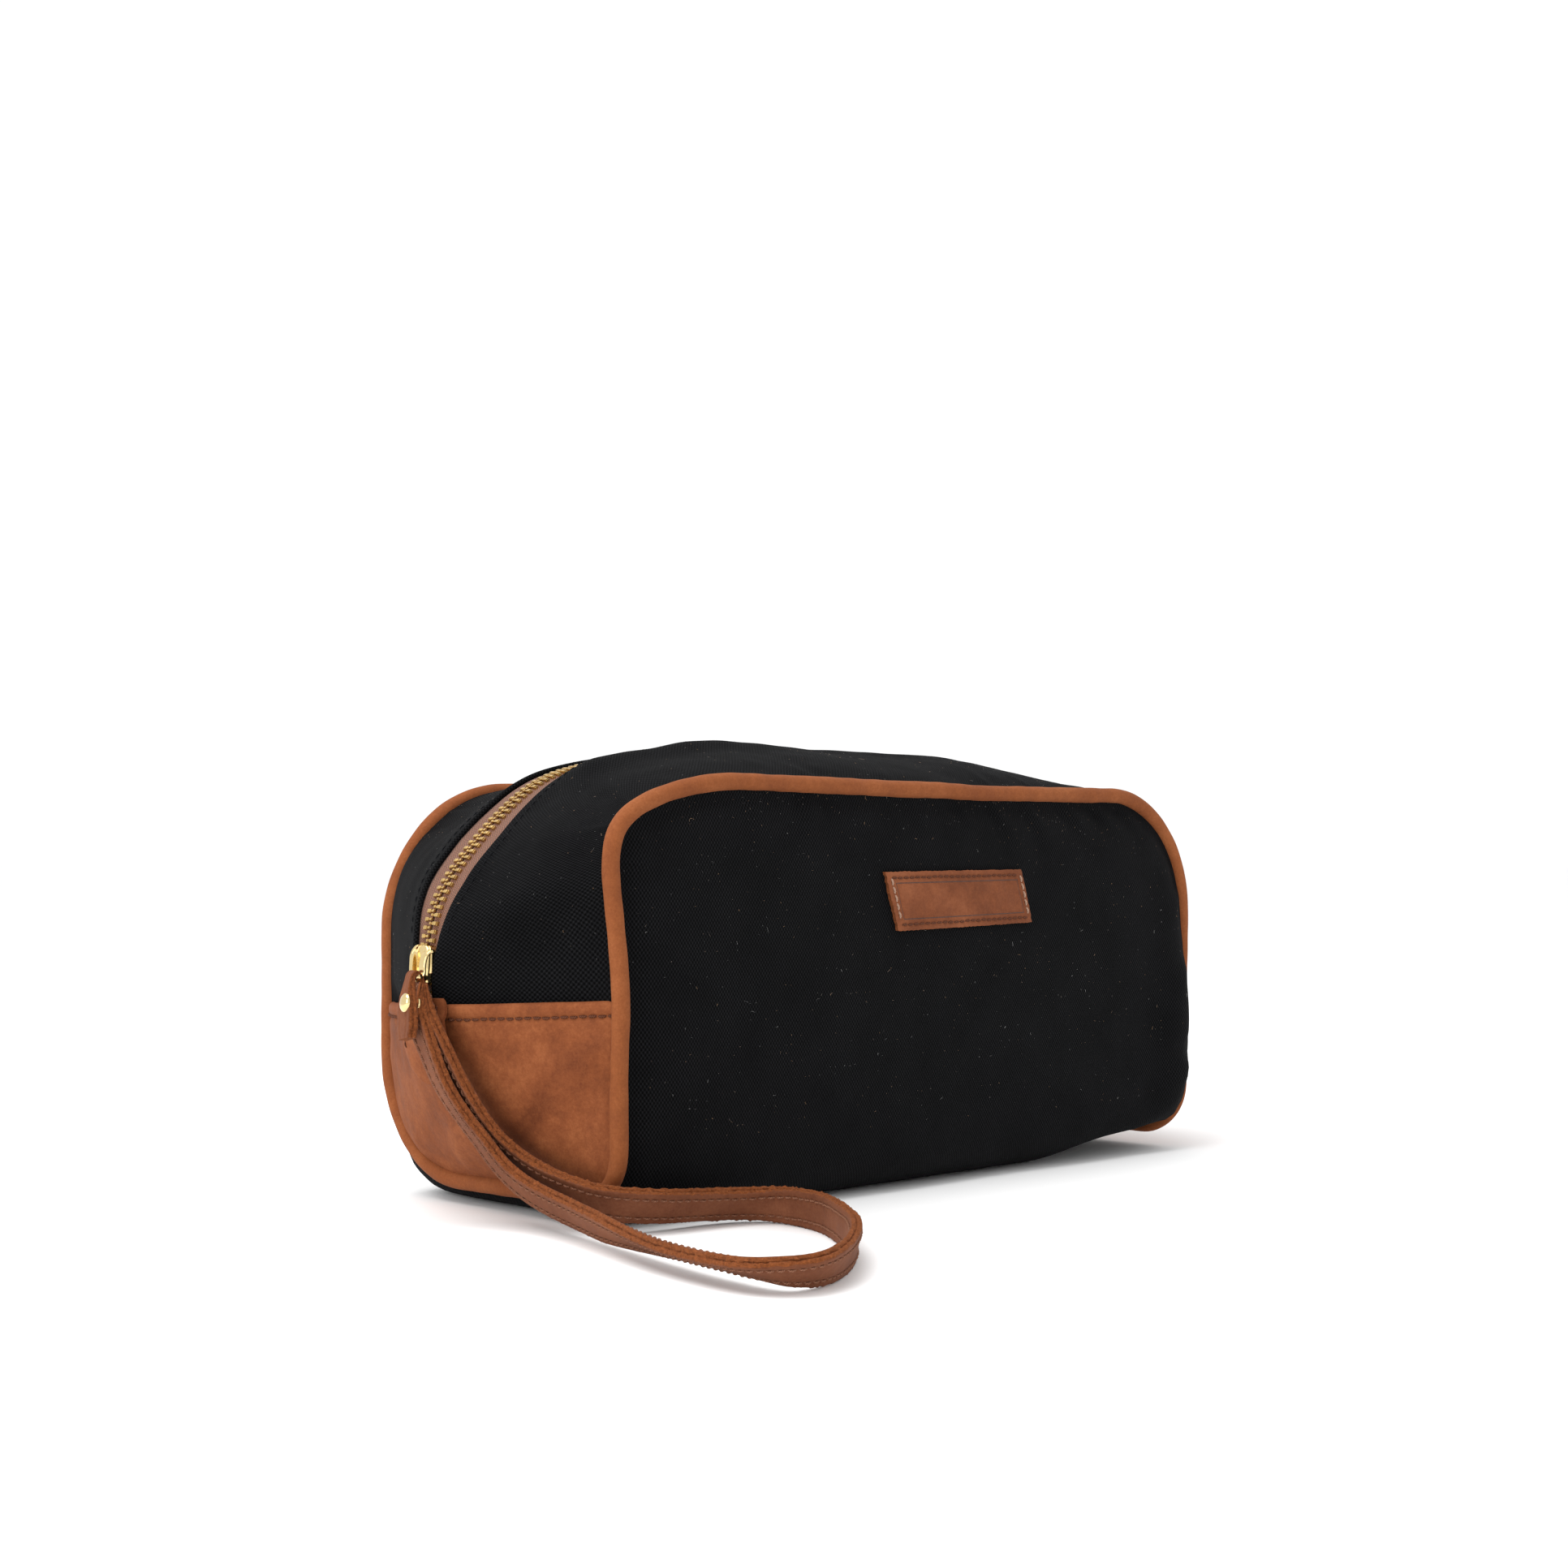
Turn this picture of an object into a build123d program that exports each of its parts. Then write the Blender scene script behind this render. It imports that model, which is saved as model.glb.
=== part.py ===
from build123d import *
from math import cos, pi, radians, sin, sqrt, tan
import os

# Shaving kit bag: a canvas bag with leather trim, a zip over its top and both ends, and a wrist strap.
# Millimetres. The origin is the middle of the base, on the surface that the bag stands on.
# +X runs along the bag (the closed end of the zip is at -X), the front with the label is at -Y, +Z is up.
# An offset is measured outward from the outer face of the canvas; a negative one lies inside the bag.

os.makedirs("parts", exist_ok=True)

# Seam line, which the piping follows
SEAM_X = 134.0            # half the length between the end seams
SEAM_Y = 55.0             # half the width between the front and rear seams
SEAM_TOP = 125.0          # height of the seam along the top
SEAM_LOW = 8.0            # height of the seam under each end panel
TOP_CORNER = 36.0         # seam radius at the top corners
LOW_CORNER = 20.0         # seam radius at the bottom corners of an end
PIPING = 5.2              # diameter over the leather
PIPING_CORE = 3.2         # diameter of the cord inside the leather
SEAM_GAP = 0.1            # clearance between a panel's edge and the piping
FLAP_GAP = 0.4            # clearance between a moving piece and a fixed one

# Zip line, a chain of tangent arcs in the middle plane
NOSE_RADIUS = 59.0        # corner of the zip line at each end of the bag
NOSE_CENTRE = (100.0, 70.0)
NOSE_TURN = 79.0          # degrees that the corner turns through
NOSE_SPLIT = 12.0         # degrees at which the side face of the gusset changes
TUCK_RADIUS = 89.4        # the end panel below the zip, curving in to the bottom seam
CROWN_RUN = (NOSE_CENTRE[0]) / cos(radians(NOSE_TURN))
CROWN_RADIUS = NOSE_RADIUS + CROWN_RUN
CROWN_CENTRE_Z = NOSE_CENTRE[1] - CROWN_RUN * sin(radians(NOSE_TURN))
SIDE_SPLIT = 62.0         # height at which the seam side of the gusset face changes

# Cloth and leather
CANVAS = 1.2
LINING = 0.4
LEATHER = 1.4
LAYER_GAP = 0.1
BULGE = 5.0               # how far the front and rear walls stand out at mid height
BASE_CORNER = 12.0        # fold of the wall into the base
BASE_END_CORNER = 8.0     # fold of the base up to the bottom seam
PANEL_TOP = 60.0          # top edge of the leather end panels
PANEL_OVERLAP = 12.0      # canvas and tape carry on this far behind the end panel
FLAP_X = 70.0             # half the length of the part of the top that opens

# Zip: a number 5 brass chain
ZIP_OPENING = 6.5         # half the width between the folded canvas edges
TAPE = 0.5
TAPE_EDGE = 12.0          # half the width of both tapes together
CHAIN_HALF = 3.0          # half the width of the chain
CHAIN_SLOT = 0.55         # half the slot that the web of the slider runs in
TOOTH_PITCH = 2.5
TOOTH_LENGTH = 1.3
TOOTH_TOP = -0.2
TOOTH_DEPTH = 2.4
ZIP_END_Z = 66.8          # height of the stops

# Slider, at its closed place
SLIDER_Z = 74.0
SLIDER_LENGTH = 11.0
SLIDER_WIDTH = 8.6
SLIDER_RIM = 0.8
SLIDER_PLATE = (0.15, 0.95)
SLIDER_RIM_SPAN = (-0.9, 2.3)
SLIDER_BACK = (-4.3, -3.3)
SLIDER_BACK_RIM = -2.4
SLIDER_WEB = 0.5
SLIDER_WEB_SPAN = (-4.5, -0.5)   # where the web is along the slider
SLIDER_CORNER = 2.2
SLIDER_SIDE_INSET = 2.0   # the rims' inner skirts stop this far from each end
SLIDER_BACK_INSET = (0.3, 0.5)   # the back plate is smaller than the front: half width and half length
WELD = 0.1                # how far the web runs into each plate
KNOB = 2.8                # lower post of the bridge, which the thong hangs on
KNOB_U = -4.3
BRIDGE_BAR = (3.6, 4.6)
BRIDGE_HALF = 1.1
BRIDGE_FOOT_U = (3.4, 4.4)
BRIDGE_ROUND = 0.6
KNOB_RISE = 0.5           # the knob stands this far above the bar
KNOB_ROUND = 0.7
THONG = 1.5               # thickness of the leather where it goes round the post
THONG_PLAY = 0.2          # between the leather and the post
THONG_LIFT = 0.25         # between the leather and the slider's plate
NECK_HALF = 2.8
NECK_LENGTH = 1.6
TAIL_LAP = 0.6            # how far the neck and the tail overlap
TAIL_U = -25.0            # the tail is longer than this before it is cut at its own height
TAIL = (3.1, 8.9)         # the folded and riveted end, measured out from the zip line
TAIL_HALF = 3.2
TAIL_TOP_U = -6.2
TAIL_LOW_Z = 54.1
RIVET_U = -11.7
RIVET_CAP = 6.2
RIVET_CAP_T = 1.0
RIVET_CAP_ROUND = 0.8
RIVET_POST = 2.4
RIVET_FLANGE = 5.0
RIVET_FLANGE_T = 0.5

# Wrist strap: two stitched layers of leather, 10.5 wide and 3 thick
STRAP = 3.0
STRAP_ROUTE = [
    (-165.2, -4.8, 53.3), (-163.8, -8.6, 48.2), (-162.2, -10.9, 42.4), (-160.4, -13.2, 37.0),
    (-158.4, -15.4, 32.6), (-156.2, -18.2, 28.0), (-154.2, -20.6, 24.2), (-152.2, -23.2, 19.8),
    (-150.6, -26.8, 15.8), (-149.4, -31.6, 12.6), (-148.8, -37.2, 10.4), (-148.9, -44.0, 8.8),
    (-149.6, -50.8, 7.8), (-151.0, -59.6, 6.8), (-153.6, -69.2, 6.1), (-158.4, -89.2, 5.5),
    (-163.4, -108.6, 5.4), (-166.6, -129.6, 5.4), (-167.4, -145.2, 5.4), (-160.4, -154.2, 5.4),
    (-144.4, -150.4, 5.3), (-116.8, -129.6, 5.3), (-98.6, -105.2, 5.3), (-91.6, -92.0, 5.3),
    (-89.8, -76.0, 5.4), (-98.2, -67.4, 5.7), (-112.6, -64.8, 6.4), (-128.2, -63.6, 7.4),
    (-140.0, -55.6, 8.8), (-142.4, -42.0, 11.3), (-144.0, -31.8, 15.0), (-147.4, -24.2, 20.4),
    (-151.0, -20.6, 25.6), (-155.4, -16.4, 34.5), (-159.4, -12.4, 44.0), (-161.7, -5.6, 53.3),
]
FILLET_SHARE = 0.45       # share of the shorter run that each arc of the route takes up

# Label on the front and tabs over the zip's ends
LABEL_X, LABEL_Z = 6.3, 90.3
LABEL_SIZE = (66.0, 18.5)
LABEL_T = 1.5
LABEL_CORNER = 1.5
TAB_HALF = 11.0
TAB_Z = (38.5, 64.0)
TAB_CORNER = 10.0
TAB_T = 1.0

BIG = 400.0               # larger than the bag, for cutting
G = SEAM_Y - PIPING / 2 - SEAM_GAP


def save(shape, name):
    """Write one sub-part to its own file."""
    shape.label = name
    export_step(shape, f"parts/{name}.step")


def group(shapes):
    """Separate solids kept together in one node."""
    solids = [solid for shape in shapes for solid in shape.solids()]
    return solids[0] if len(solids) == 1 else Compound(children=solids)


def span(x=(-BIG, BIG), y=(-BIG, BIG), z=(-BIG, BIG)):
    """A cutting block between the given limits."""
    size = [high - low for low, high in (x, y, z)]
    middle = [(high + low) / 2 for low, high in (x, y, z)]
    return Pos(*middle) * Box(*size)


def arc_edge(centre, radius, start, end, y):
    """An arc in the plane of constant y. Angles are in degrees from the -X direction towards +Z."""
    def point(angle):
        a = radians(angle)
        return (centre[0] - radius * cos(a), y, centre[1] + radius * sin(a))
    return Edge.make_three_point_arc(point(start), point((start + end) / 2), point(end))


def seam_outline(offset, low, y):
    """Side view of the bag at the seam, as a face in the plane of constant y."""
    x = SEAM_X + offset
    corner_z = SEAM_TOP - TOP_CORNER
    corner_x = SEAM_X - TOP_CORNER
    top = SEAM_TOP + offset
    left = [
        Edge.make_line((-x, y, low), (-x, y, SIDE_SPLIT)),
        Edge.make_line((-x, y, SIDE_SPLIT), (-x, y, corner_z)),
        arc_edge((-corner_x, corner_z), TOP_CORNER + offset, 0, 90, y),
    ]
    return close_outline(left, Edge.make_line((-corner_x, y, top), (corner_x, y, top)), x, low, y)


def zip_outline(offset, low, y):
    """Side view of the bag along the zip, as a face in the plane of constant y."""
    nose = (-NOSE_CENTRE[0], NOSE_CENTRE[1])
    nose_radius = NOSE_RADIUS + offset
    tuck_radius = TUCK_RADIUS + offset
    tuck_centre = (nose[0] - NOSE_RADIUS + TUCK_RADIUS, nose[1])
    drop = nose[1] - low
    half = sqrt(tuck_radius ** 2 - drop ** 2)
    x = half - tuck_centre[0]
    tuck_angle = -asin_degrees(drop / tuck_radius)
    left = [
        arc_edge(tuck_centre, tuck_radius, tuck_angle, 0, y),
        arc_edge(nose, nose_radius, 0, NOSE_SPLIT, y),
        arc_edge(nose, nose_radius, NOSE_SPLIT, NOSE_TURN, y),
    ]
    crown = arc_edge((0, CROWN_CENTRE_Z), CROWN_RADIUS + offset, NOSE_TURN, 180 - NOSE_TURN, y)
    return close_outline(left, crown, x, low, y)


def asin_degrees(value):
    """Angle in degrees whose sine is the value."""
    return Vector(sqrt(1 - value ** 2), value, 0).get_angle(Vector(1, 0, 0))


def close_outline(left, top, x, low, y):
    """Mirror the left edges, close the outline along its bottom and fill it."""
    right = [edge.mirror(Plane.YZ) for edge in left]
    bottom = Edge.make_line((x, y, low), (-x, y, low))
    return Face(Wire(left + [top] + right[::-1] + [bottom]))


def gusset_body(offset, low, side):
    """Half of the space inside the gusset, from the seam to the folded edge beside the zip."""
    return loft([
        seam_outline(offset, low, side * G),
        zip_outline(offset, low, side * ZIP_OPENING),
    ], ruled=True)


def gusset_core(offset, low):
    """The straight middle of the space inside the gusset, under the zip."""
    face = zip_outline(offset, low, -ZIP_OPENING)
    return extrude(face, amount=2 * ZIP_OPENING, dir=(0, 1, 0))


def gusset_shell(outer, inner, side):
    """A layer of one half of the gusset between two offsets, open below."""
    floor = SEAM_LOW
    return gusset_body(outer, floor, side) - gusset_body(inner, floor - LOW_CORNER / 2, side)


def core_shell(outer, inner):
    """A layer of the middle strip between two offsets, open below."""
    return gusset_core(outer, SEAM_LOW) - gusset_core(inner, SEAM_LOW - LOW_CORNER / 2)


def end_window(inset):
    """Block with the outline of an end panel: as wide as the gusset, with round bottom corners."""
    half = SEAM_Y - inset
    low = SEAM_LOW + inset
    shape = Plane.YZ * Pos(0, low + BIG / 2) * RectangleRounded(2 * half, BIG, LOW_CORNER - inset)
    return extrude(shape, amount=BIG, both=True)


# ---------------------------------------------------------------- walls and base

def wall_section(offset, top):
    """Cross-section of the wrap: a wide U whose walls stand out a little, as a filled face."""
    foot = SEAM_Y + BULGE / 2
    rim = SEAM_Y + PIPING / 10
    middle = SEAM_TOP / 2
    edge_z = SEAM_TOP - PIPING / 2 - SEAM_GAP
    wall = ThreePointArc((-rim, edge_z), (-SEAM_Y - BULGE, middle), (-foot, 0))
    base = Line((-foot, 0), (foot, 0))
    lid = Line((rim, edge_z), (-rim, edge_z))
    face = make_face([wall, base, wall.mirror(Plane.YZ), lid])
    corners = face.vertices().sort_by(Axis.Y)[:2]
    face = fillet(corners, BASE_CORNER)
    if offset:
        face = offset_face(face, offset)
    if top > edge_z:
        face += Pos(0, (edge_z - CANVAS * 3 + top) / 2) * Rectangle(2 * (rim + offset), top - edge_z + CANVAS * 3)
    return face


def offset_face(face, amount):
    """The face grown or shrunk by the amount, with its corners kept sharp."""
    return offset(face, amount=amount, kind=Kind.INTERSECTION)


def side_block(half, top, corner, low, low_corner):
    """Block with the front view of the wrap: round at its top corners and at its base."""
    shape = Plane.XZ * Pos(0, (top + low) / 2) * Rectangle(2 * half, top - low)
    shape = fillet(shape.vertices().sort_by(Axis.Z)[:2], low_corner)
    if corner:
        shape = fillet(shape.vertices().sort_by(Axis.Z)[-2:], corner)
    return extrude(shape, amount=BIG, both=True)


def wrap_layer(inset, thickness):
    """One layer of the wrap: front wall, base and rear wall, turned up to the seam at each end."""
    half = SEAM_X - PIPING / 2 - SEAM_GAP
    top = SEAM_TOP - PIPING / 2 - SEAM_GAP
    corner = TOP_CORNER - PIPING / 2
    outer = extrude(Plane.YZ * wall_section(-inset, top), amount=half, both=True)
    outer &= side_block(half - inset, top - inset / 2, corner, inset, BASE_END_CORNER - inset)
    deep = inset + thickness
    inner = extrude(Plane.YZ * wall_section(-deep, SEAM_TOP), amount=BIG, both=True)
    inner &= side_block(half - deep, BIG, 0, deep, BASE_END_CORNER - deep)
    mouths = extrude(Plane.YZ * wall_section(-deep, SEAM_TOP), amount=BIG, both=True) & end_window(LAYER_GAP)
    return outer - inner - mouths


def make_label():
    """Leather patch on the front wall."""
    shape = Plane.XZ * Pos(LABEL_X, LABEL_Z) * RectangleRounded(*LABEL_SIZE, LABEL_CORNER)
    block = extrude(shape, amount=BIG)
    top = SEAM_TOP - PIPING / 2 - SEAM_GAP
    outer = extrude(Plane.YZ * wall_section(LAYER_GAP + LABEL_T, top), amount=SEAM_X, both=True)
    inner = extrude(Plane.YZ * wall_section(LAYER_GAP, top), amount=SEAM_X, both=True)
    return (outer - inner) & block


# ---------------------------------------------------------------- piping

def seam_path():
    """The closed seam: round the front, under one end, round the rear and under the other end."""
    x, y, top, low = SEAM_X, SEAM_Y, SEAM_TOP, SEAM_LOW
    tc, lc = TOP_CORNER, LOW_CORNER
    k_top = tc * (1 - sqrt(0.5))
    k_low = lc * (1 - sqrt(0.5))
    edges = []
    for side in (-1, 1):
        s = side
        edges += [
            Edge.make_line((-x, s * y, low + lc), (-x, s * y, top - tc)),
            Edge.make_three_point_arc(
                (-x, s * y, top - tc), (-x + k_top, s * y, top - k_top), (-x + tc, s * y, top)),
            Edge.make_line((-x + tc, s * y, top), (x - tc, s * y, top)),
            Edge.make_three_point_arc(
                (x - tc, s * y, top), (x - k_top, s * y, top - k_top), (x, s * y, top - tc)),
            Edge.make_line((x, s * y, top - tc), (x, s * y, low + lc)),
        ]
    for end in (-1, 1):
        e = end
        for s in (-1, 1):
            edges.append(Edge.make_three_point_arc(
                (e * x, s * y, low + lc), (e * x, s * (y - k_low), low + k_low), (e * x, s * (y - lc), low)))
        edges.append(Edge.make_line((e * x, -(y - lc), low), (e * x, y - lc, low)))
    return Wire(edges)


def make_tube(path, diameter):
    """A round bar along the path."""
    start = path @ 0
    plane = Plane(origin=start, z_dir=path % 0)
    return sweep(plane * Circle(diameter / 2), path=path)


# ---------------------------------------------------------------- zip

def zip_place(length):
    """Position and tilt on the zip line at a length from the start of the left corner."""
    corner = NOSE_RADIUS * radians(NOSE_TURN)
    crown = 2 * CROWN_RADIUS * radians(90 - NOSE_TURN)
    if length < corner:
        centre, radius, angle = (-NOSE_CENTRE[0], NOSE_CENTRE[1]), NOSE_RADIUS, length / NOSE_RADIUS
    elif length < corner + crown:
        centre, radius = (0.0, CROWN_CENTRE_Z), CROWN_RADIUS
        angle = radians(NOSE_TURN) + (length - corner) / CROWN_RADIUS
    else:
        centre, radius = NOSE_CENTRE, NOSE_RADIUS
        angle = radians(180 - NOSE_TURN) + (length - corner - crown) / NOSE_RADIUS
    point = (centre[0] - radius * cos(angle), centre[1] + radius * sin(angle))
    return point, angle


def zip_plane(length):
    """Local plane on the zip line: x points out of the bag and z along the zip."""
    (x, z), angle = zip_place(length)
    return Plane(origin=(x, 0, z), x_dir=(-cos(angle), 0, sin(angle)), z_dir=(sin(angle), 0, cos(angle)))


def chain_teeth(side):
    """Every tooth of one side of the chain, as (x, solid) pairs."""
    total = 2 * NOSE_RADIUS * radians(NOSE_TURN) + 2 * CROWN_RADIUS * radians(90 - NOSE_TURN)
    width = CHAIN_HALF - CHAIN_SLOT
    stagger = TOOTH_PITCH / 2 if side > 0 else 0
    teeth = []
    length = TOOTH_PITCH + stagger
    while length < total - TOOTH_PITCH:
        plane = zip_plane(length)
        tooth = Pos(TOOTH_TOP - TOOTH_DEPTH / 2, -side * (CHAIN_SLOT + width / 2), 0) * Box(
            TOOTH_DEPTH, width, TOOTH_LENGTH)
        teeth.append((plane.origin.X, plane * tooth))
        length += TOOTH_PITCH
    return teeth


def make_stop(end, half_span):
    """Metal stop across part of the tape, just past the last tooth."""
    drop = NOSE_CENTRE[1] - ZIP_END_Z
    reach = sqrt(TUCK_RADIUS ** 2 - drop ** 2) - (TUCK_RADIUS - NOSE_RADIUS) + NOSE_CENTRE[0]
    inner, outer = half_span
    block = Box(TOOTH_DEPTH, outer - inner, TOOTH_LENGTH * 1.5)
    return Pos(end * (reach + TOOTH_TOP - TOOTH_DEPTH / 2), (inner + outer) / 2, ZIP_END_Z) * block


# ---------------------------------------------------------------- slider and strap

def slider_plane():
    """Local plane of the slider at its closed place: x out of the bag, y towards the front, z along the zip."""
    lift = SLIDER_Z - NOSE_CENTRE[1]
    return zip_plane(NOSE_RADIUS * radians(asin_degrees(lift / NOSE_RADIUS)))


def local_block(n, y, u):
    """Block in the slider's plane, out from the zip line, across it and along it."""
    return span(n, y, u)


def make_slider_body():
    """Two plates with turned rims, joined by a web that runs between the two rows of teeth."""
    half, length = SLIDER_WIDTH / 2, SLIDER_LENGTH / 2
    outline = RectangleRounded(SLIDER_WIDTH, SLIDER_LENGTH, SLIDER_CORNER)
    blank = Plane.YZ * outline
    tray = extrude(blank, amount=SLIDER_RIM_SPAN[1])
    skirt = length - SLIDER_SIDE_INSET
    tray += local_block((SLIDER_RIM_SPAN[0], 0), (-half, half), (-skirt, skirt))
    inside = half - SLIDER_RIM
    tray -= local_block((SLIDER_PLATE[1], BIG), (-inside, inside), (-BIG, BIG))
    tray -= local_block((-BIG, SLIDER_PLATE[0]), (-inside, inside), (-BIG, BIG))
    back_half, back_long = half - SLIDER_BACK_INSET[0], length - SLIDER_BACK_INSET[1]
    back = local_block((SLIDER_BACK[0], SLIDER_BACK_RIM), (-back_half, back_half), (-back_long, back_long))
    back -= local_block((SLIDER_BACK[1], BIG), (-inside, inside), (-BIG, BIG))
    web_depth = (SLIDER_BACK[1] - WELD, SLIDER_PLATE[0] + WELD)
    web = local_block(web_depth, (-SLIDER_WEB / 2, SLIDER_WEB / 2), SLIDER_WEB_SPAN)
    return slider_plane() * (tray + back + web)


def make_slider_bridge():
    """Bar over the slider: a post at its upper end and a round post with a knob at its lower end."""
    across = (-BRIDGE_HALF, BRIDGE_HALF)
    bar = local_block(BRIDGE_BAR, across, (KNOB_U, BRIDGE_FOOT_U[1]))
    bar += local_block((SLIDER_PLATE[1], BRIDGE_BAR[1]), across, BRIDGE_FOOT_U)
    bar = fillet(bar.edges().filter_by(Axis.Y).sort_by(Axis.X)[-2:], BRIDGE_ROUND)
    low, high = SLIDER_PLATE[1], BRIDGE_BAR[1] + KNOB_RISE
    knob = Pos((low + high) / 2, 0, KNOB_U) * Rot(0, 90, 0) * Cylinder(KNOB / 2, high - low)
    knob = fillet(knob.edges().sort_by(Axis.X)[-1:], KNOB_ROUND)
    return slider_plane() * (bar + knob)


def make_thong():
    """Leather looped round the lower post, folded down and held by the rivet."""
    inner = KNOB / 2 + THONG_PLAY
    outer = inner + THONG
    ring_n = (SLIDER_PLATE[1] + THONG_LIFT, BRIDGE_BAR[0] - THONG_PLAY)
    ring = Pos(sum(ring_n) / 2, 0, KNOB_U) * Rot(0, 90, 0) * Cylinder(outer, ring_n[1] - ring_n[0])
    neck = local_block((ring_n[0], TAIL[1]), (-NECK_HALF, NECK_HALF), (TAIL_TOP_U - NECK_LENGTH, TAIL_TOP_U))
    tail = local_block(TAIL, (-TAIL_HALF, TAIL_HALF), (TAIL_U, TAIL_TOP_U - TAIL_LAP))
    bore = Pos(0, 0, KNOB_U) * Rot(0, 90, 0) * Cylinder(inner, BIG)
    thong = ring + neck + tail - bore
    thong -= Pos(0, 0, RIVET_U) * Rot(0, 90, 0) * Cylinder(RIVET_POST / 2, BIG)
    recess = Cylinder(RIVET_FLANGE / 2, 2 * RIVET_FLANGE_T)
    thong -= Pos(TAIL[0], 0, RIVET_U) * Rot(0, 90, 0) * recess
    return (slider_plane() * thong) & span(z=(TAIL_LOW_Z, BIG))


def make_rivet_cap():
    """Domed cap on the outside of the folded end."""
    cap = Pos(TAIL[1] + RIVET_CAP_T / 2, 0, RIVET_U) * Rot(0, 90, 0) * Cylinder(RIVET_CAP / 2, RIVET_CAP_T)
    cap = fillet(cap.edges().sort_by(Axis.X)[-1:], RIVET_CAP_ROUND)
    return slider_plane() * cap


def make_rivet_post():
    """Shank through the folded end, with its flange behind."""
    shank = local_shaft(RIVET_POST, TAIL[0], TAIL[1])
    flange = local_shaft(RIVET_FLANGE, TAIL[0], TAIL[0] + RIVET_FLANGE_T)
    return slider_plane() * (shank + flange)


def local_shaft(diameter, start, end):
    """Round bar through the middle of the folded end, in the slider's plane."""
    return Pos((start + end) / 2, 0, RIVET_U) * Rot(0, 90, 0) * Cylinder(diameter / 2, end - start)


def make_strap():
    """The strap's route as straight runs joined by the largest tangent arcs that fit."""
    points = [Vector(*point) for point in STRAP_ROUTE]
    runs = [b - a for a, b in zip(points, points[1:])]
    radii = []
    for before, after in zip(runs, runs[1:]):
        half_turn = radians(before.get_angle(after)) / 2
        radii.append(FILLET_SHARE * min(before.length, after.length) / tan(half_turn))
    print("strap radii:", ", ".join(f"{radius:.1f}" for radius in radii))
    path = FilletPolyline(*points, radius=radii)
    strap = make_tube(path, STRAP)
    section = pi * STRAP ** 2 / 4
    print(f"strap length {path.length:.1f}, volume over section {strap.volume / section:.1f}")
    return strap


# ---------------------------------------------------------------- build

def build_gusset():
    """Canvas, lining, tape and teeth of both halves of the gusset, in fixed ends and an opening middle."""
    hem = PANEL_TOP - PANEL_OVERLAP
    bands = {
        "left": (-BIG, -FLAP_X - FLAP_GAP),
        "middle": (-FLAP_X, FLAP_X),
        "right": (FLAP_X + FLAP_GAP, BIG),
    }
    tape_top = -CANVAS - LAYER_GAP / 2
    tape_low = tape_top - TAPE
    lining_top = -CANVAS - LAYER_GAP
    for name, side in (("front", -1), ("rear", 1)):
        canvas = gusset_shell(0, -CANVAS, side)
        lining = gusset_shell(lining_top, lining_top - LINING, side)
        lining &= span(y=ordered(side * (TAPE_EDGE + 0.2), side * BIG))
        tape = gusset_shell(tape_top, tape_low, side) + core_shell(tape_top, tape_low)
        tape &= span(y=ordered(side * (CHAIN_HALF + 0.05), side * TAPE_EDGE))
        teeth = chain_teeth(side)
        for band, limits in bands.items():
            reach = G - FLAP_GAP if band == "middle" else G
            block = span(x=limits, y=ordered(0, side * reach), z=(hem, BIG))
            save(group([canvas & block]), f"{name}_gusset_{band}")
            save(group([lining & block]), f"{name}_gusset_lining_{band}")
            save(group([tape & block]), f"{name}_zip_tape_{band}")
            row = [solid for x, solid in teeth if limits[0] + 1 < x < limits[1] - 1]
            save(group(row), f"{name}_zip_teeth_{band}")


def ordered(a, b):
    """The two limits, lower first."""
    return (min(a, b), max(a, b))


def build_ends():
    """Leather panel, its lining and the zip's end tab at each end."""
    window = end_window(PIPING / 2 + SEAM_GAP)
    inner = LAYER_GAP
    outer = inner + LEATHER
    lining_top = -CANVAS - LAYER_GAP
    panel = gusset_shell(outer, inner, -1) + core_shell(outer, inner) + gusset_shell(outer, inner, 1)
    lining = gusset_shell(lining_top, lining_top - LINING, -1) + core_shell(lining_top, lining_top - LINING)
    lining += gusset_shell(lining_top, lining_top - LINING, 1)
    tab_in = outer + LAYER_GAP
    tab_out = tab_in + TAB_T
    tab = gusset_shell(tab_out, tab_in, -1) + core_shell(tab_out, tab_in) + gusset_shell(tab_out, tab_in, 1)
    height = TAB_Z[1] - TAB_Z[0]
    shape = Plane.YZ * Pos(0, sum(TAB_Z) / 2) * Rectangle(2 * TAB_HALF, height)
    shape = fillet(shape.vertices().sort_by(Axis.Z)[:2], TAB_CORNER)
    tab_block = extrude(shape, amount=BIG, both=True)
    hem = PANEL_TOP - PANEL_OVERLAP - LAYER_GAP
    for name, limits in (("left", (-BIG, 0)), ("right", (0, BIG))):
        save(group([panel & window & span(x=limits, z=(0, PANEL_TOP))]), f"end_panel_{name}")
        save(group([lining & window & span(x=limits, z=(0, hem))]), f"end_panel_lining_{name}")
        save(group([tab & tab_block & span(x=limits)]), f"zip_end_tab_{name}")


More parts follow.
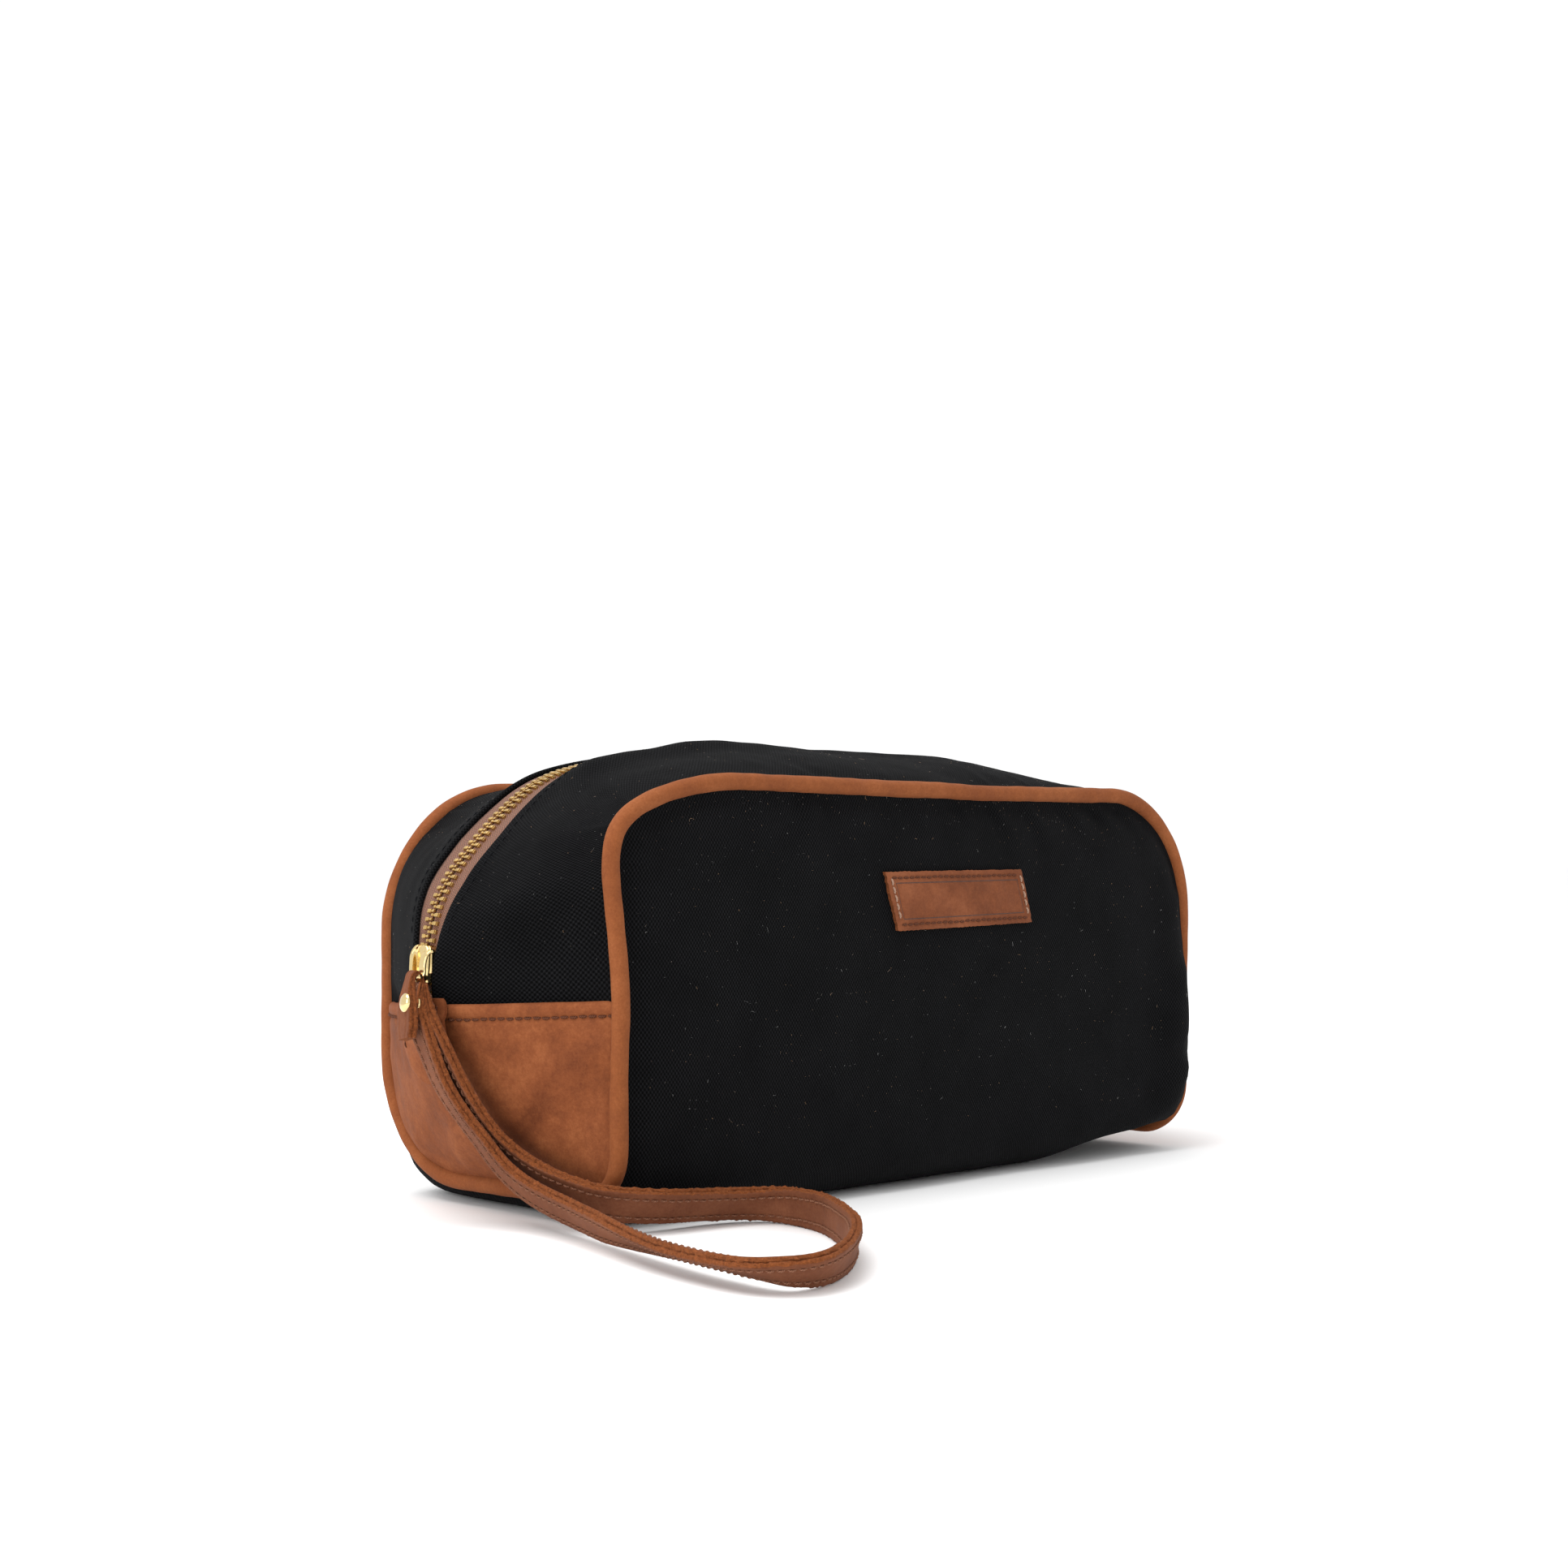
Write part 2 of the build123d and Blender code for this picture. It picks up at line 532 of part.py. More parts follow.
def build_all():
    """Write every sub-part."""
    save(wrap_layer(0, CANVAS), "wrap_panel")
    save(wrap_layer(CANVAS + LAYER_GAP, LINING), "wrap_lining")
    save(group([make_label()]), "leather_label")
    build_gusset()
    build_ends()

    path = seam_path()
    core = make_tube(path, PIPING_CORE)
    save(core, "piping_cord")
    save(make_tube(path, PIPING) - core, "piping_cover")

    slot = CHAIN_SLOT
    save(group([make_stop(-1, (-CHAIN_HALF, -slot)), make_stop(-1, (slot, CHAIN_HALF))]), "zip_top_stops")
    save(make_stop(1, (-CHAIN_HALF, CHAIN_HALF)), "zip_bottom_stop")

    save(make_slider_body(), "slider_body")
    save(make_slider_bridge(), "slider_bridge")
    save(make_thong(), "strap_thong")
    save(make_rivet_cap(), "rivet_cap")
    save(make_rivet_post(), "rivet_post")
    save(make_strap(), "wrist_strap")


build_all()
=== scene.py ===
import math

import bmesh
import bpy
import numpy as np
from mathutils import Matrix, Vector


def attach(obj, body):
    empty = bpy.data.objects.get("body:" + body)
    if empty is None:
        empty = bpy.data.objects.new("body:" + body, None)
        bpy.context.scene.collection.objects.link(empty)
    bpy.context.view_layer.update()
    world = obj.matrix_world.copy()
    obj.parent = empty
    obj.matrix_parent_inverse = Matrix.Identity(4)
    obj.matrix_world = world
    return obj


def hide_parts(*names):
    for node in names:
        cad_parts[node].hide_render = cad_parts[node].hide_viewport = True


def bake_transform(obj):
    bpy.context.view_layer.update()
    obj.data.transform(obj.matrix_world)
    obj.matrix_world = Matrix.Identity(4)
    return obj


# Shaving kit bag: canvas, tan nubuck trim, a brass zip and a wrist strap.
# Shapes are worked out in millimetres in the frame's axes and turned into metres when a mesh is made.

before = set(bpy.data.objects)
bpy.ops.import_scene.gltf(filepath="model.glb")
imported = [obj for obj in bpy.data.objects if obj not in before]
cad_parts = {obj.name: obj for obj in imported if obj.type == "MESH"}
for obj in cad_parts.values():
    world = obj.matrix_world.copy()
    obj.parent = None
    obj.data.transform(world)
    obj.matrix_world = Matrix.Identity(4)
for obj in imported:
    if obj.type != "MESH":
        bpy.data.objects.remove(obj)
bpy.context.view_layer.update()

MM = 0.001
TAU = 2 * math.pi

# Seam line, which the piping follows: a closed loop of corners, each with its radius.
# Up the front left, along the top, down the front right, under the right end, and back round the rear.
SEAM_CORNERS = [
    ((-133.4, -55, 8), 14), ((-132.8, -55, 62), 0), ((-78, -55, 125.2), 0), ((34, -55, 124.2), 400),
    ((133.2, -55, 125.6), 40), ((131.4, -55, 6.5), 17),
    ((133.6, 55, 8), 24), ((133.8, 55, 125), 38), ((-132.8, 55, 125), 45), ((-131.4, 55, 6.5), 36),
]
# The front left corner of that loop is pushed out of shape, so it has a curve of its own.
SLUMPED_CORNER = [
    (-132.8, -55, 62), (-133.4, -55, 74), (-134.6, -55, 85.5), (-136.1, -55, 96.5), (-136.3, -55, 103.4),
    (-134.6, -55, 110.2), (-129.8, -55, 115.2), (-122.6, -55, 118.9), (-113.4, -55, 122.0),
    (-103.2, -55, 124.0), (-92, -55, 125.0), (-78, -55, 125.2),
]
ARC_STEPS = 24            # points of each rounded corner
SEAM_Y = 55.0
END_X = 134.0             # where the seam stands at both ends
PIPING_RADIUS = 2.55

# Zip line in the middle plane, from the left bottom seam over the top to the right bottom seam, as (x, z)
ZIP_LINE = [
    (-134, 8), (-144.8, 22), (-152.8, 38), (-157.6, 55), (-159.2, 71), (-156.9, 86), (-151.2, 97.2),
    (-142.6, 107), (-131.6, 117.2), (-119.6, 125.6), (-105.5, 130.8), (-82, 134.8), (-46, 137.6),
    (0, 138.4), (46, 137.4), (82, 134.6), (105.5, 130.8), (120, 126.2), (133, 119), (144, 109.5),
    (152, 98.5), (157, 86), (159.2, 71), (157.6, 55), (152.8, 38), (144.8, 22), (134, 8),
]
TAPE_DEPTH = 1.2          # tape below the zip line
TAPE_REACH = 12.4         # half the tape's width, where the canvas is far enough apart
FOLD = 0.8                # radius of a folded edge
CANVAS_RISE = 0.2         # folded canvas edge above the zip line
TOOTH_PITCH = 2.5         # between the teeth of one row
CANVAS_THICK = 0.45       # canvas beside the zip, and the tape
CANVAS_LINING = 2.1       # its lining behind the outer face
WRAP_THICK = 1.0          # canvas of the walls and the base
WRAP_LINING = 1.6         # its lining behind the outer face
LEATHER_THICK = 0.6       # end panels
LEATHER_LINING = 2.6      # their lining behind the outer face
END_SEAM = 3.3            # stitch row below an end panel's top edge
SLIDER_Z = 73.3           # height of the slider's middle

STRAP_WIDTH = 10.5
STRAP_THICK = 3.0
STRAP_STITCH = 2.1        # stitch rows in from its cut edges

rng = np.random.default_rng(7)


# ---------------------------------------------------------------- lines and grids

def unit(v):
    """Vectors made one long."""
    v = np.asarray(v, float)
    return v / np.maximum(np.linalg.norm(v, axis=-1, keepdims=True), 1e-12)


def smooth(x):
    """A soft step from 0 at 0 to 1 at 1."""
    x = np.clip(x, 0, 1)
    return x * x * (3 - 2 * x)


def bell(x, width):
    """A soft hump: 1 at 0, nearly nothing at twice the width."""
    return np.exp(-(x / width) ** 2)


class Line:
    """A line through close points, read by the share of its length."""

    def __init__(self, points):
        self.points = np.array(points, float)
        steps = np.linalg.norm(np.diff(self.points, axis=0), axis=1)
        self.lengths = np.concatenate([[0.0], np.cumsum(steps)])
        self.length = self.lengths[-1]

    def at(self, share):
        """Place at a share of the length."""
        place = np.clip(np.asarray(share, float), 0, 1) * self.length
        return np.stack([np.interp(place, self.lengths, self.points[:, k]) for k in range(3)], axis=-1)

    def tangent(self, share):
        step = 0.5 / self.length
        return unit(self.at(np.asarray(share) + step) - self.at(np.asarray(share) - step))

    def near(self, point):
        """Share of the length at the place nearest to a point."""
        away = np.linalg.norm(self.points - np.array(point, float), axis=1)
        return self.lengths[np.argmin(away)] / self.length

    def cut(self, first, last, count):
        """The stretch between two shares, with evenly spaced points."""
        return Line(self.at(np.linspace(first, last, count)))


def joined(*runs):
    """One line through several runs of points."""
    return Line(np.vstack(runs))


def corner_arc(before, corner, after, radius):
    """Points of the arc that rounds a corner between two straight runs."""
    before, corner, after = (np.array(p, float) for p in (before, corner, after))
    a, b = unit(before - corner), unit(after - corner)
    half = math.acos(float(np.clip(a @ b, -1, 1))) / 2
    reach = radius / math.tan(half)
    centre = corner + unit(a + b) * radius / math.sin(half)
    start, end = corner + a * reach - centre, corner + b * reach - centre
    turn = math.pi - 2 * half
    share = np.linspace(0, 1, ARC_STEPS)[:, None]
    return centre + (np.sin((1 - share) * turn) * start + np.sin(share * turn) * end) / math.sin(turn)


def smooth_line(points, steps=16):
    """A smooth curve through a few points."""
    p = np.array(points, float)
    p = np.vstack([2 * p[0] - p[1], p, 2 * p[-1] - p[-2]])
    t = np.linspace(0, 1, steps, endpoint=False)[:, None]
    out = []
    for a, b, c, d in zip(p, p[1:], p[2:], p[3:]):
        square, cube = 2 * a - 5 * b + 4 * c - d, 3 * b - a - 3 * c + d
        out.append(0.5 * (2 * b + (c - a) * t + square * t**2 + cube * t**3))
    return Line(np.vstack(out + [p[-2:-1]]))


def normals(grid, outward):
    """Unit normals of a grid of points, turned to the side that the outward vector points to."""
    a = np.gradient(grid, axis=0)
    b = np.gradient(grid, axis=1)
    n = unit(np.cross(a, b))
    middle = n[n.shape[0] // 2, n.shape[1] // 2]
    return n if middle @ np.array(outward, float) > 0 else -n


def distances(points, line):
    """Distance from each point to the nearest point of a line."""
    flat = points.reshape(-1, 3)
    away = np.full(len(flat), 1e9)
    for start in range(0, len(flat), 4000):
        part = flat[start:start + 4000]
        gap = part[:, None, :] - line.points[None, ::2, :]
        away[start:start + 4000] = np.sqrt((gap**2).sum(-1).min(1))
    return away.reshape(points.shape[:-1])


def ripple(u, v, length, seed):
    """Gentle unevenness between about -1 and 1, with waves of about the given length."""
    local = np.random.default_rng(seed)
    total = np.zeros(np.broadcast(u, v).shape)
    for _ in range(7):
        angle, phase, stretch = local.uniform(0, TAU), local.uniform(0, TAU), local.uniform(0.7, 1.5)
        total += np.sin((u * math.cos(angle) + v * math.sin(angle)) * TAU / (length * stretch) + phase)
    return total / 3.0


def crease(u, v, start, end, width, height):
    """A fold that runs from a seam into the cloth and dies out: a crest with a shallow trough beside it."""
    start, end = np.array(start, float), np.array(end, float)
    run = end - start
    length = np.linalg.norm(run)
    along = ((u - start[0]) * run[0] + (v - start[1]) * run[1]) / length**2
    across = ((u - start[0]) * run[1] - (v - start[1]) * run[0]) / length
    spread = width * (0.6 + 0.9 * np.clip(along, 0, 1))
    body = smooth((along + 0.12) / 0.3) * smooth((1.0 - along) / 0.8)
    crest = bell(across, spread) - 0.55 * bell(across - 1.7 * spread, spread)
    return height * body * crest


def fold_edge(grid, normal, radius=FOLD, back=5.0):
    """Adds a rolled edge and a turned-under hem after the last column of a grid."""
    edge, out = grid[:, -1], unit(grid[:, -1] - grid[:, -3])
    up = normal[:, -1]
    extra = []
    for a in np.linspace(0, math.pi, 7)[1:]:
        extra.append(edge + out * radius * math.sin(a) - up * radius * (1 - math.cos(a)))
    for share in (0.4, 1.0):
        extra.append(edge - out * back * share - up * 2 * radius)
    return np.concatenate([grid, np.stack(extra, axis=1)], axis=1)


# ---------------------------------------------------------------- meshes

def quads_between(index):
    """Four-cornered faces between the rows of a table of point numbers, closed round each row."""
    a, b = index[:-1], np.roll(index[:-1], -1, 1)
    c, d = np.roll(index[1:], -1, 1), index[1:]
    return np.stack([a, b, c, d], -1)


def grid_part(grid, normal, thickness, uv=None):
    """A closed sheet with thickness under a grid of points; the faces of its rim come last."""
    rows, cols = grid.shape[:2]
    verts = np.concatenate([grid.reshape(-1, 3), (grid - normal * thickness).reshape(-1, 3)])
    index = np.arange(rows * cols).reshape(rows, cols)
    top = np.stack([index[:-1, :-1], index[1:, :-1], index[1:, 1:], index[:-1, 1:]], -1).reshape(-1, 4)
    rim = np.concatenate([index[0], index[1:, -1], index[-1, -2::-1], index[-2:0:-1, 0]])
    after = np.roll(rim, -1)
    wall = np.stack([rim, after, after + rows * cols, rim + rows * cols], -1)
    i, j = rows // 2, cols // 2
    if np.cross(grid[i + 1, j] - grid[i, j], grid[i, j + 1] - grid[i, j]) @ normal[i, j] < 0:
        top, wall = top[:, ::-1], wall[:, ::-1]
    low = top[:, ::-1] + rows * cols
    flat = np.zeros((rows * cols, 2)) if uv is None else uv.reshape(-1, 2)
    faces = np.concatenate([top, low, wall])
    return {"verts": verts, "faces": faces, "uv": np.concatenate([flat, flat]), "slot": 0}


def ring_part(rings, flip=False):
    """A closed body through rings of points, with a face over each end."""
    count, sides = rings.shape[:2]
    index = np.arange(count * sides).reshape(count, sides)
    faces = quads_between(index).reshape(-1, 4)
    ends = [index[0][::-1], index[-1]]
    if flip:
        faces, ends = faces[:, [0, 3, 2, 1]], [end[::-1] for end in ends]
    return {"verts": rings.reshape(-1, 3), "faces": list(faces) + ends, "uv": None, "slot": 0}


def tube_part(line, radius, sides=16, slot=0, closed=False):
    """A round tube along close points; radius is one number or one for each point."""
    points = np.asarray(line, float)
    count = len(points)
    if closed:
        tangent = unit(np.roll(points, -1, 0) - np.roll(points, 1, 0))
    else:
        tangent = unit(np.gradient(points, axis=0))
    up = np.array([0.12, 0.31, 0.94])
    side = []
    last = unit(up - tangent[0] * (up @ tangent[0]))
    for t in tangent:
        last = unit(last - t * (last @ t))
        side.append(last)
    side = np.array(side)
    if closed:
        # the twist left over after one turn is spread along the whole loop
        other = np.cross(tangent, side)
        end = unit(side[-1] - tangent[0] * (side[-1] @ tangent[0]))
        slip = math.atan2(end @ other[0], end @ side[0])
        turn = -slip * np.arange(count) / count
        side = side * np.cos(turn)[:, None] + other * np.sin(turn)[:, None]
    other = np.cross(tangent, side)
    radius = np.broadcast_to(np.asarray(radius, float), (count,))
    angle = np.linspace(0, TAU, sides, endpoint=False)
    ring = side[:, None] * np.cos(angle)[None, :, None] + other[:, None] * np.sin(angle)[None, :, None]
    verts = points[:, None] + ring * radius[:, None, None]
    length = np.concatenate([[0.0], np.cumsum(np.linalg.norm(np.diff(points, axis=0), axis=1))])
    uv = np.stack(np.broadcast_arrays(length[:, None], (angle * radius.mean())[None, :]), -1)
    index = np.arange(count * sides).reshape(count, sides)
    faces = list(quads_between(np.vstack([index, index[:1]]) if closed else index).reshape(-1, 4))
    if not closed:
        faces += [index[0][::-1], index[-1]]
    return {"verts": verts.reshape(-1, 3), "faces": faces, "uv": uv.reshape(-1, 2), "slot": slot}


def join_parts(parts):
    """Several parts as one, in the slot of the first."""
    verts, faces, uv, start = [], [], [], 0
    for part in parts:
        count = len(part["verts"])
        verts.append(part["verts"])
        faces += [[int(i) + start for i in f] for f in part["faces"]]
        uv.append(np.zeros((count, 2)) if part["uv"] is None else part["uv"])
        start += count
    verts, uv = np.concatenate(verts), np.concatenate(uv)
    return {"verts": verts, "faces": faces, "uv": uv, "slot": parts[0]["slot"]}


def make_object(name, parts, materials, sharp=35.0):
    """One object from parts, each with one slot or one for each face; it comes out in metres."""
    whole = join_parts(parts)
    slots = np.concatenate([np.broadcast_to(part["slot"], len(part["faces"])) for part in parts])
    mesh = bpy.data.meshes.new(name)
    mesh.from_pydata((whole["verts"] * MM).tolist(), [], whole["faces"])
    layer = mesh.uv_layers.new(name="cloth")
    corner = np.zeros(len(mesh.loops), np.int32)
    mesh.loops.foreach_get("vertex_index", corner)
    layer.data.foreach_set("uv", (whole["uv"] * MM)[corner].astype(np.float32).ravel())
    for material in materials:
        mesh.materials.append(material)
    mesh.polygons.foreach_set("material_index", slots.astype(np.int32))
    mesh.polygons.foreach_set("use_smooth", np.ones(len(mesh.polygons), bool))
    mesh.set_sharp_from_angle(angle=math.radians(sharp))
    mesh.update()
    obj = bpy.data.objects.new(name, mesh)
    bpy.context.scene.collection.objects.link(obj)
    return obj


def stands_in(piece, slot, *nodes, body=None):
    """Attaches a piece to its body, when one is given, and hides its CAD nodes; the slot is not used."""
    if body:
        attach(piece, body)
    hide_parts(*nodes)


def stitches(points, up, pitch, length, radius, lift, slot=1):
    """Thread stitches laid on a surface along a row of close points, as one part."""
    line = Line(points)
    lengths = np.linspace(0, 1, len(points))
    sag = np.array([-1.2, -0.2, 0.5, 0.75, 0.5, -0.2, -1.2]) * radius
    share = np.array([0.0, 0.08, 0.3, 0.5, 0.7, 0.92, 1.0])[:, None]
    thick = np.array([0.55, 0.9, 1.0, 1.0, 1.0, 0.9, 0.55]) * radius
    parts = []
    for k in range(max(1, int(line.length / pitch))):
        middle = (k + 0.5) * pitch
        ends = np.array([middle - length / 2, middle, middle + length / 2]) / line.length
        if ends[-1] > 1:
            break
        p = line.at(ends)
        n = unit(np.stack([np.interp(ends, lengths, up[:, j]) for j in range(3)], -1))
        body = p[0] * (1 - share) + p[2] * share + n[1] * (sag[:, None] + lift)
        side = np.cross(n[1], unit(p[2] - p[0]))
        body += side * rng.uniform(-0.12, 0.12)
        parts.append(tube_part(body, thick, sides=7, slot=slot))
    return join_parts(parts)


def lint(grid, normal, count, slot, seed):
    """Short loose fibres lying on a cloth."""
    local = np.random.default_rng(seed)
    rows, cols = grid.shape[:2]
    parts = []
    for _ in range(count):
        i, j = local.integers(1, rows - 1), local.integers(1, cols - 1)
        n, t = normal[i, j], unit(grid[i, min(j + 1, cols - 1)] - grid[i, j])
        b = np.cross(n, t)
        angle, bend = local.uniform(0, TAU), local.normal(0, 1.1)
        length = local.choice([0.3, 0.5, 1.0, 2.2], p=[0.6, 0.27, 0.1, 0.03]) * local.uniform(0.6, 1.2)
        step = np.linspace(0, 1, 4)
        heading = angle + bend * step
        out = np.cumsum(np.stack([np.cos(heading), np.sin(heading)], -1), axis=0) * length / 4
        line = grid[i, j] + out[:, :1] * t + out[:, 1:] * b + n * 0.1
        parts.append(tube_part(line, local.uniform(0.022, 0.05), sides=3, slot=slot))
    return join_parts(parts)


def block_part(size, centre, bevel):
    """A block with bevelled edges, as a part in its own axes."""
    bm = bmesh.new()
    bmesh.ops.create_cube(bm, size=1.0)
    bmesh.ops.scale(bm, vec=size, verts=bm.verts)
    bmesh.ops.bevel(bm, geom=list(bm.edges), offset=bevel, segments=2, affect="EDGES", profile=0.6)
    bmesh.ops.translate(bm, vec=centre, verts=bm.verts)
    bm.verts.index_update()
    verts = np.array([v.co for v in bm.verts])
    faces = [[v.index for v in f.verts] for f in bm.faces]
    bm.free()
    return {"verts": verts, "faces": faces, "uv": None, "slot": 0}


def placed(part, origin, axes):
    """A part moved from its own axes to a place with the three given unit axes."""
    moved = dict(part)
    moved["verts"] = np.array(origin) + part["verts"] @ np.array(axes)
    if np.linalg.det(np.array(axes)) < 0:
        moved["faces"] = [f[::-1] for f in part["faces"]]
    return moved


# ---------------------------------------------------------------- materials

class Look:
    """A node material built step by step."""

    def __init__(self, name, roughness, **sockets):
        self.material = bpy.data.materials.new(name)
        self.material.use_nodes = True
        self.tree = self.material.node_tree
        self.shader = next(n for n in self.tree.nodes if n.type == "BSDF_PRINCIPLED")
        self.shader.inputs["Roughness"].default_value = roughness
        for socket, value in sockets.items():
            self.shader.inputs[socket.replace("_", " ")].default_value = value

    def node(self, kind, links=None, **settings):
        made = self.tree.nodes.new(kind)
        for key, value in settings.items():
            setattr(made, key, value)
        for socket, value in (links or {}).items():
            if isinstance(value, bpy.types.NodeSocket):
                self.tree.links.new(value, made.inputs[socket])
            else:
                made.inputs[socket].default_value = value
        return made

    def math(self, operation, a, b=0.0):
        return self.node("ShaderNodeMath", {0: a, 1: b}, operation=operation).outputs[0]

    def swing(self, value, size):
        """A noise value as a swing about zero."""
        return self.math("MULTIPLY", self.math("SUBTRACT", value, 0.5), size)

    def wave(self, kind, value, length):
        """Sine or cosine with the given wavelength."""
        return self.math(kind, self.math("MULTIPLY", value, TAU / length))

    def place(self):
        """Place on the object in metres."""
        return self.node("ShaderNodeTexCoord").outputs["Object"]

    def noise(self, vector, scale, detail=4.0, roughness=0.55, distortion=0.0):
        links = {"Vector": vector, "Scale": scale, "Detail": detail, "Roughness": roughness,
                 "Distortion": distortion}
        return self.node("ShaderNodeTexNoise", links).outputs["Fac"]

    def ramp(self, value, stops):
        made = self.node("ShaderNodeValToRGB", {"Fac": value})
        ramp = made.color_ramp
        while len(ramp.elements) < len(stops):
            ramp.elements.new(0.5)
        for element, (place, colour) in zip(ramp.elements, stops):
            element.position = place
            element.color = (*colour, 1)
        return made.outputs["Color"]

    def grey(self, value, low, high, first=0.0, last=1.0):
        """A value spread from one range to another."""
        links = {"Value": value, "From Min": low, "From Max": high, "To Min": first, "To Max": last}
        return self.node("ShaderNodeMapRange", links).outputs["Result"]

    def mix(self, factor, a, b):
        """Colour between two colours."""
        made = self.node("ShaderNodeMix", data_type="RGBA")
        for socket, value in ((made.inputs[0], factor), (made.inputs[6], a), (made.inputs[7], b)):
            if isinstance(value, bpy.types.NodeSocket):
                self.tree.links.new(value, socket)
            else:
                socket.default_value = (*value, 1) if isinstance(value, tuple) else value
        return made.outputs[2]

    def colour(self, value):
        self.tree.links.new(value, self.shader.inputs["Base Color"])

    def rough(self, value):
        self.tree.links.new(value, self.shader.inputs["Roughness"])

    def bump(self, *layers):
        """Bump from (height, metres) pairs, the coarsest first."""
        normal = None
        for height, distance in layers:
            links = {"Height": height, "Distance": distance, "Strength": 1.0}
            if normal is not None:
                links["Normal"] = normal
            normal = self.node("ShaderNodeBump", links).outputs["Normal"]
        self.tree.links.new(normal, self.shader.inputs["Normal"])

    def uv(self):
        """Place on the cloth in metres, as separate lengths along and across."""
        made = self.node("ShaderNodeUVMap", uv_map="cloth")
        split = self.node("ShaderNodeSeparateXYZ", {0: made.outputs[0]})
        return split.outputs[0], split.outputs[1], made.outputs[0]


def canvas_look(name, dark, light, warp=0.565e-3, pick=0.79e-3, depth=0.16e-3):
    """Plain weave of thick cotton yarn, with slubs and a little fluff; the colour has painted shade in the
    weave's gaps and painted highlights on the yarn crests.
    """
    look = Look(name, 0.9, Sheen_Weight=0.004, Sheen_Roughness=0.5, Sheen_Tint=(0.6, 0.62, 0.68, 1),
                Specular_IOR_Level=0.06)
    u, v, flat = look.uv()
    u = look.math("ADD", u, look.swing(look.noise(flat, 900, 2), 0.3e-3))
    v = look.math("ADD", v, look.swing(look.noise(flat, 700, 2, distortion=0.4), 0.4e-3))
    weave = look.math("MULTIPLY", look.wave("COSINE", u, 2 * warp), look.wave("COSINE", v, 2 * pick))
    height = look.grey(weave, -0.6, 1.0)
    slub = look.noise(flat, 2600, 3)
    cloudy = look.noise(flat, 55, 4)
    # painted light: the colour follows the weave's height, darker in the gaps and lighter on the crests;
    # slubs and clouds are real tone of the yarn
    shade = look.math("MULTIPLY", height, look.grey(slub, 0.3, 0.75, 0.5, 1.3))
    shade = look.math("MULTIPLY", shade, look.grey(cloudy, 0.3, 0.7, 0.75, 1.25))
    look.colour(look.mix(shade, dark, light))
    look.bump((height, depth), (look.noise(flat, 9000, 2), 0.05e-3))
    return look.material


def leather_look(name, deep, mid, pale, mottle=1.0):
    """Nubuck: a soft nap with cloudy rubbed patches, fine pores and a few faint scratches."""
    roughness = 0.78
    look = Look(name, roughness, Sheen_Weight=0.03, Sheen_Roughness=0.5, Sheen_Tint=(1.0, 0.62, 0.42, 1),
                Specular_IOR_Level=0.1)
    place = look.place()
    clouds = look.noise(place, 38, 5, 0.6, 0.6)
    patches = look.noise(place, 130, 4, 0.6)
    nap = look.noise(place, 1500, 3, 0.6)
    fine = look.noise(place, 520, 5, 0.7)
    tone = look.math("ADD", look.swing(clouds, 1.7 * mottle), 0.5)
    for layer, size in ((patches, 0.8 * mottle), (fine, 0.45 * mottle), (nap, 0.65)):
        tone = look.math("ADD", tone, look.swing(layer, size))
    base = look.ramp(tone, [(0.0, deep), (0.5, mid), (1.0, pale)])
    pores = look.noise(place, 3600, 2, 0.5)
    dots = look.grey(pores, 0.62, 0.74)
    look.colour(look.mix(look.math("MULTIPLY", dots, 0.35), base, tuple(c * 0.45 for c in deep)))
    look.rough(look.grey(patches, 0.3, 0.7, roughness - 0.08, roughness + 0.08))
    creased = look.noise(place, 420, 5, 0.65, 0.8)
    look.bump((creased, 0.12e-3), (nap, 0.05e-3), (pores, 0.04e-3))
    return look.material


def suede_look(name, deep, pale):
    """Cut edge of the leather, rough and fluffy."""
    look = Look(name, 0.95, Sheen_Weight=0.08, Sheen_Roughness=0.5, Sheen_Tint=(1.0, 0.6, 0.4, 1),
                Specular_IOR_Level=0.05)
    place = look.place()
    clumps = look.noise(place, 1300, 4, 0.7, 0.5)
    fuzz = look.noise(place, 4200, 3, 0.7)
    tone = look.math("ADD", look.math("MULTIPLY", clumps, 0.7), look.math("MULTIPLY", fuzz, 0.3))
    look.colour(look.ramp(look.grey(tone, 0.3, 0.7), [(0.0, deep), (1.0, pale)]))
    look.bump((clumps, 0.4e-3), (fuzz, 0.15e-3))
    return look.material


def thread_look(name, colour, pale):
    """Twisted sewing thread, with painted shade in the grooves of its twist and painted highlights on its
    ridges.
    """
    look = Look(name, 0.85, Specular_IOR_Level=0.1)
    u, v, flat = look.uv()
    ply = look.wave("SINE", look.math("ADD", u, look.math("MULTIPLY", v, 0.9)), 0.55e-3)
    mixed = look.noise(flat, 3000, 2)
    # painted light: a quarter of the tone follows the twist; the noise is real variation of the thread
    tone = look.math("ADD", look.math("MULTIPLY", ply, 0.25), mixed)
    look.colour(look.ramp(tone, [(0.2, colour), (0.85, pale)]))
    look.bump((look.grey(ply, -1, 1), 0.08e-3))
    return look.material


